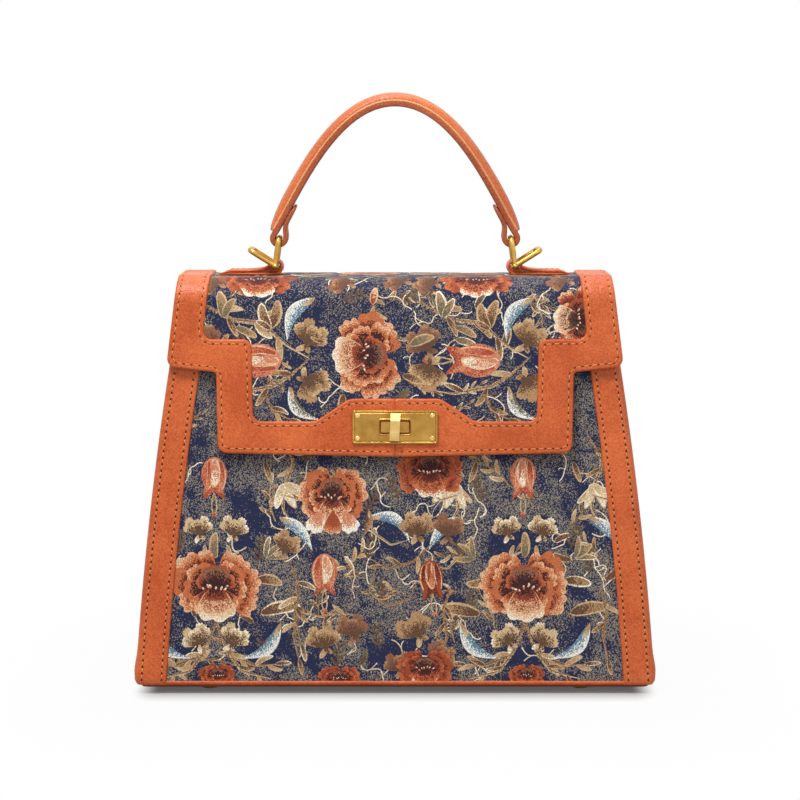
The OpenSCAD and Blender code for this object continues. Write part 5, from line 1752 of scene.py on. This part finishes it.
# %% Floor material
# The glow under the bag and its reach paint a shadow round the bag's footprint; the faint glow further out lets the
# real shadow show.
FOOTPRINT, PAINTED_SHADOW_GLOW, GLOW_NEAR, PAINTED_SHADOW_REACH, NEAR, FAR = (0.128, 0.052), 0.1, 0.96, 0.03, 0.012, 0.25


def seen_rays(g):
    """1 for rays that show the background: camera, glossy and transmission rays."""
    path = g.add("ShaderNodeLightPath").outputs
    return g.math("MAXIMUM", path["Is Camera Ray"], g.math("MAXIMUM", path["Is Glossy Ray"], path["Is Transmission Ray"]))


def floor_material():
    """White to the camera and to bright metal, with a painted shadow round the bag's footprint, where the bag's real
    shadow also shows.
    """
    mat, g, shader = material("studio floor")
    g.feed(shader, Base_Color=(0.45, 0.44, 0.43, 1), Roughness=0.9, Specular_IOR_Level=0.0)
    glow = g.add("ShaderNodeEmission", None, Color=(1, 1, 1, 1), Strength=1.0)
    place = g.add("ShaderNodeSeparateXYZ", None, i0=g.add("ShaderNodeTexCoord").outputs["Object"])
    beyond = [g.math("MAXIMUM", g.math("SUBTRACT", g.math("ABSOLUTE", place.outputs[k]), half), 0.0)
              for k, half in enumerate(FOOTPRINT)]
    beyond[0] = g.math("MULTIPLY", beyond[0], 2.0)
    away = g.math("SQRT", g.math("ADD", g.math("POWER", beyond[0], 2.0), g.math("POWER", beyond[1], 2.0)))
    # Painted shadow: the glow drops to a tenth over the footprint and comes back within a few centimetres, twice as far
    # in front and behind as at the sides; there the grey diffuse floor and the bag's real shadow show.
    near = g.add("ShaderNodeMapRange", {"interpolation_type": "SMOOTHSTEP"}, i0=away, i1=0.0, i2=PAINTED_SHADOW_REACH,
                 i3=PAINTED_SHADOW_GLOW, i4=1.0).outputs[0]
    share = g.math("MULTIPLY", near, g.ramp(away, NEAR, FAR, GLOW_NEAR, 1.0))
    both = g.add("ShaderNodeMixShader", None, i0=g.math("MULTIPLY", seen_rays(g), share), i1=shader.outputs[0],
                 i2=glow.outputs[0])
    g.feed(mat.node_tree.nodes["Material Output"], Surface=both.outputs[0])
    return mat


# %% Floor and world
FLOOR_HALF, WORLD_LIGHT = 8, 0.42
floor_mesh = bpy.data.meshes.new("studio floor")
floor_mesh.from_pydata([(x * FLOOR_HALF, y * FLOOR_HALF, 0) for x, y in FOUR_CORNERS], [], [(0, 1, 2, 3)])
floor_mesh.materials.append(floor_material())
floor = bpy.data.objects.new("studio floor", floor_mesh)
bpy.context.scene.collection.objects.link(floor)
world = bpy.data.worlds.new("studio")
bpy.context.scene.world = world
world.use_nodes = True
g = Graph(world.node_tree)
g.feed(world.node_tree.nodes["Background"], Color=(1, 1, 1, 1), Strength=g.ramp(seen_rays(g), 0.0, 1.0, WORLD_LIGHT, 1.0))
print("floor and world:", floor.name, world.name)

# %% [markdown]
# ## Lights and camera
# The photo has one large soft light from the upper left, a weak fill from the right and some light from above. A sky
# texture would tint the leather, so three white area lights stand in for the studio's boxes. The camera is far away
# with a long lens, a little above level, as for a catalogue.

# %% Lights
LIGHTS = (("key light", (-0.28, -0.5, 1.2), (0, 0, 0.15), 0.36, 12),
          ("fill light", (1.1, -1.3, 0.9), (0, 0, 0.15), 1.0, 4),
          ("top light", (0.1, 0.4, 1.6), (0, 0, 0.2), 0.9, 6))
for name, at, aim, size, power in LIGHTS:
    data = bpy.data.lights.new(name, "AREA")
    data.size, data.energy = size, power
    light = bpy.data.objects.new(name, data)
    light.location = at
    way = np.array(aim) - np.array(at)
    light.rotation_euler = (math.acos(-way[2] / np.linalg.norm(way)), 0, math.atan2(way[1], way[0]) - math.pi / 2)
    bpy.context.scene.collection.objects.link(light)
print("lights:", len(LIGHTS))

# %% Camera
TILT, REACH, AIM_X, AIM_Z = deg(6), 1.5, 0.0027, 0.153
camera_data = bpy.data.cameras.new("camera")
camera_data.lens, camera_data.sensor_width = 121.9, 36
camera = bpy.data.objects.new("camera", camera_data)
camera.location = (AIM_X, -REACH * math.cos(TILT), AIM_Z + REACH * math.sin(TILT))
camera.rotation_euler = (math.pi / 2 - TILT, 0, 0)
bpy.context.scene.collection.objects.link(camera)
bpy.context.scene.camera = camera
bpy.context.scene.view_settings.view_transform = "Standard"
print("camera at", [round(c, 3) for c in camera.location])

# %% [markdown]
# ## Finishing the CAD pieces
# The turning bar, the post block and the feet are turned or milled brass, and their CAD shapes are right. Rebuilding
# them would add nothing, so they keep their meshes and get their finish, and a small bevel takes the sharpness off
# their edges, as tumbling does. Pieces hidden inside get a finish too.

# %% CAD pieces
FINISHES = (("lock_toggle", BRASS_BAR), ("lock", BRASS), ("ring", BRASS), ("foot", BRASS), ("lining", LINING),
            ("base_board", BOARD), ("handle_core", CORE))
FEET = [f"foot_{depth}_{side}" for depth in ("front", "back") for side in ("left", "right")]
ROUNDED = {"lock_toggle": 0.0004, "lock_base": 0.0003, **{foot: 0.0004 for foot in FEET}}
for name, obj in nodes.items():
    obj.data.materials.clear()
    obj.data.materials.append(next((finish for start, finish in FINISHES if name.startswith(start)), TAN))
    if name in ROUNDED:
        bevel = obj.modifiers.new("rounded edges", "BEVEL")
        bevel.width, bevel.segments = ROUNDED[name], 3
        bevel.limit_method, bevel.angle_limit = "ANGLE", deg(25)
print("rounded CAD pieces:", len(ROUNDED))
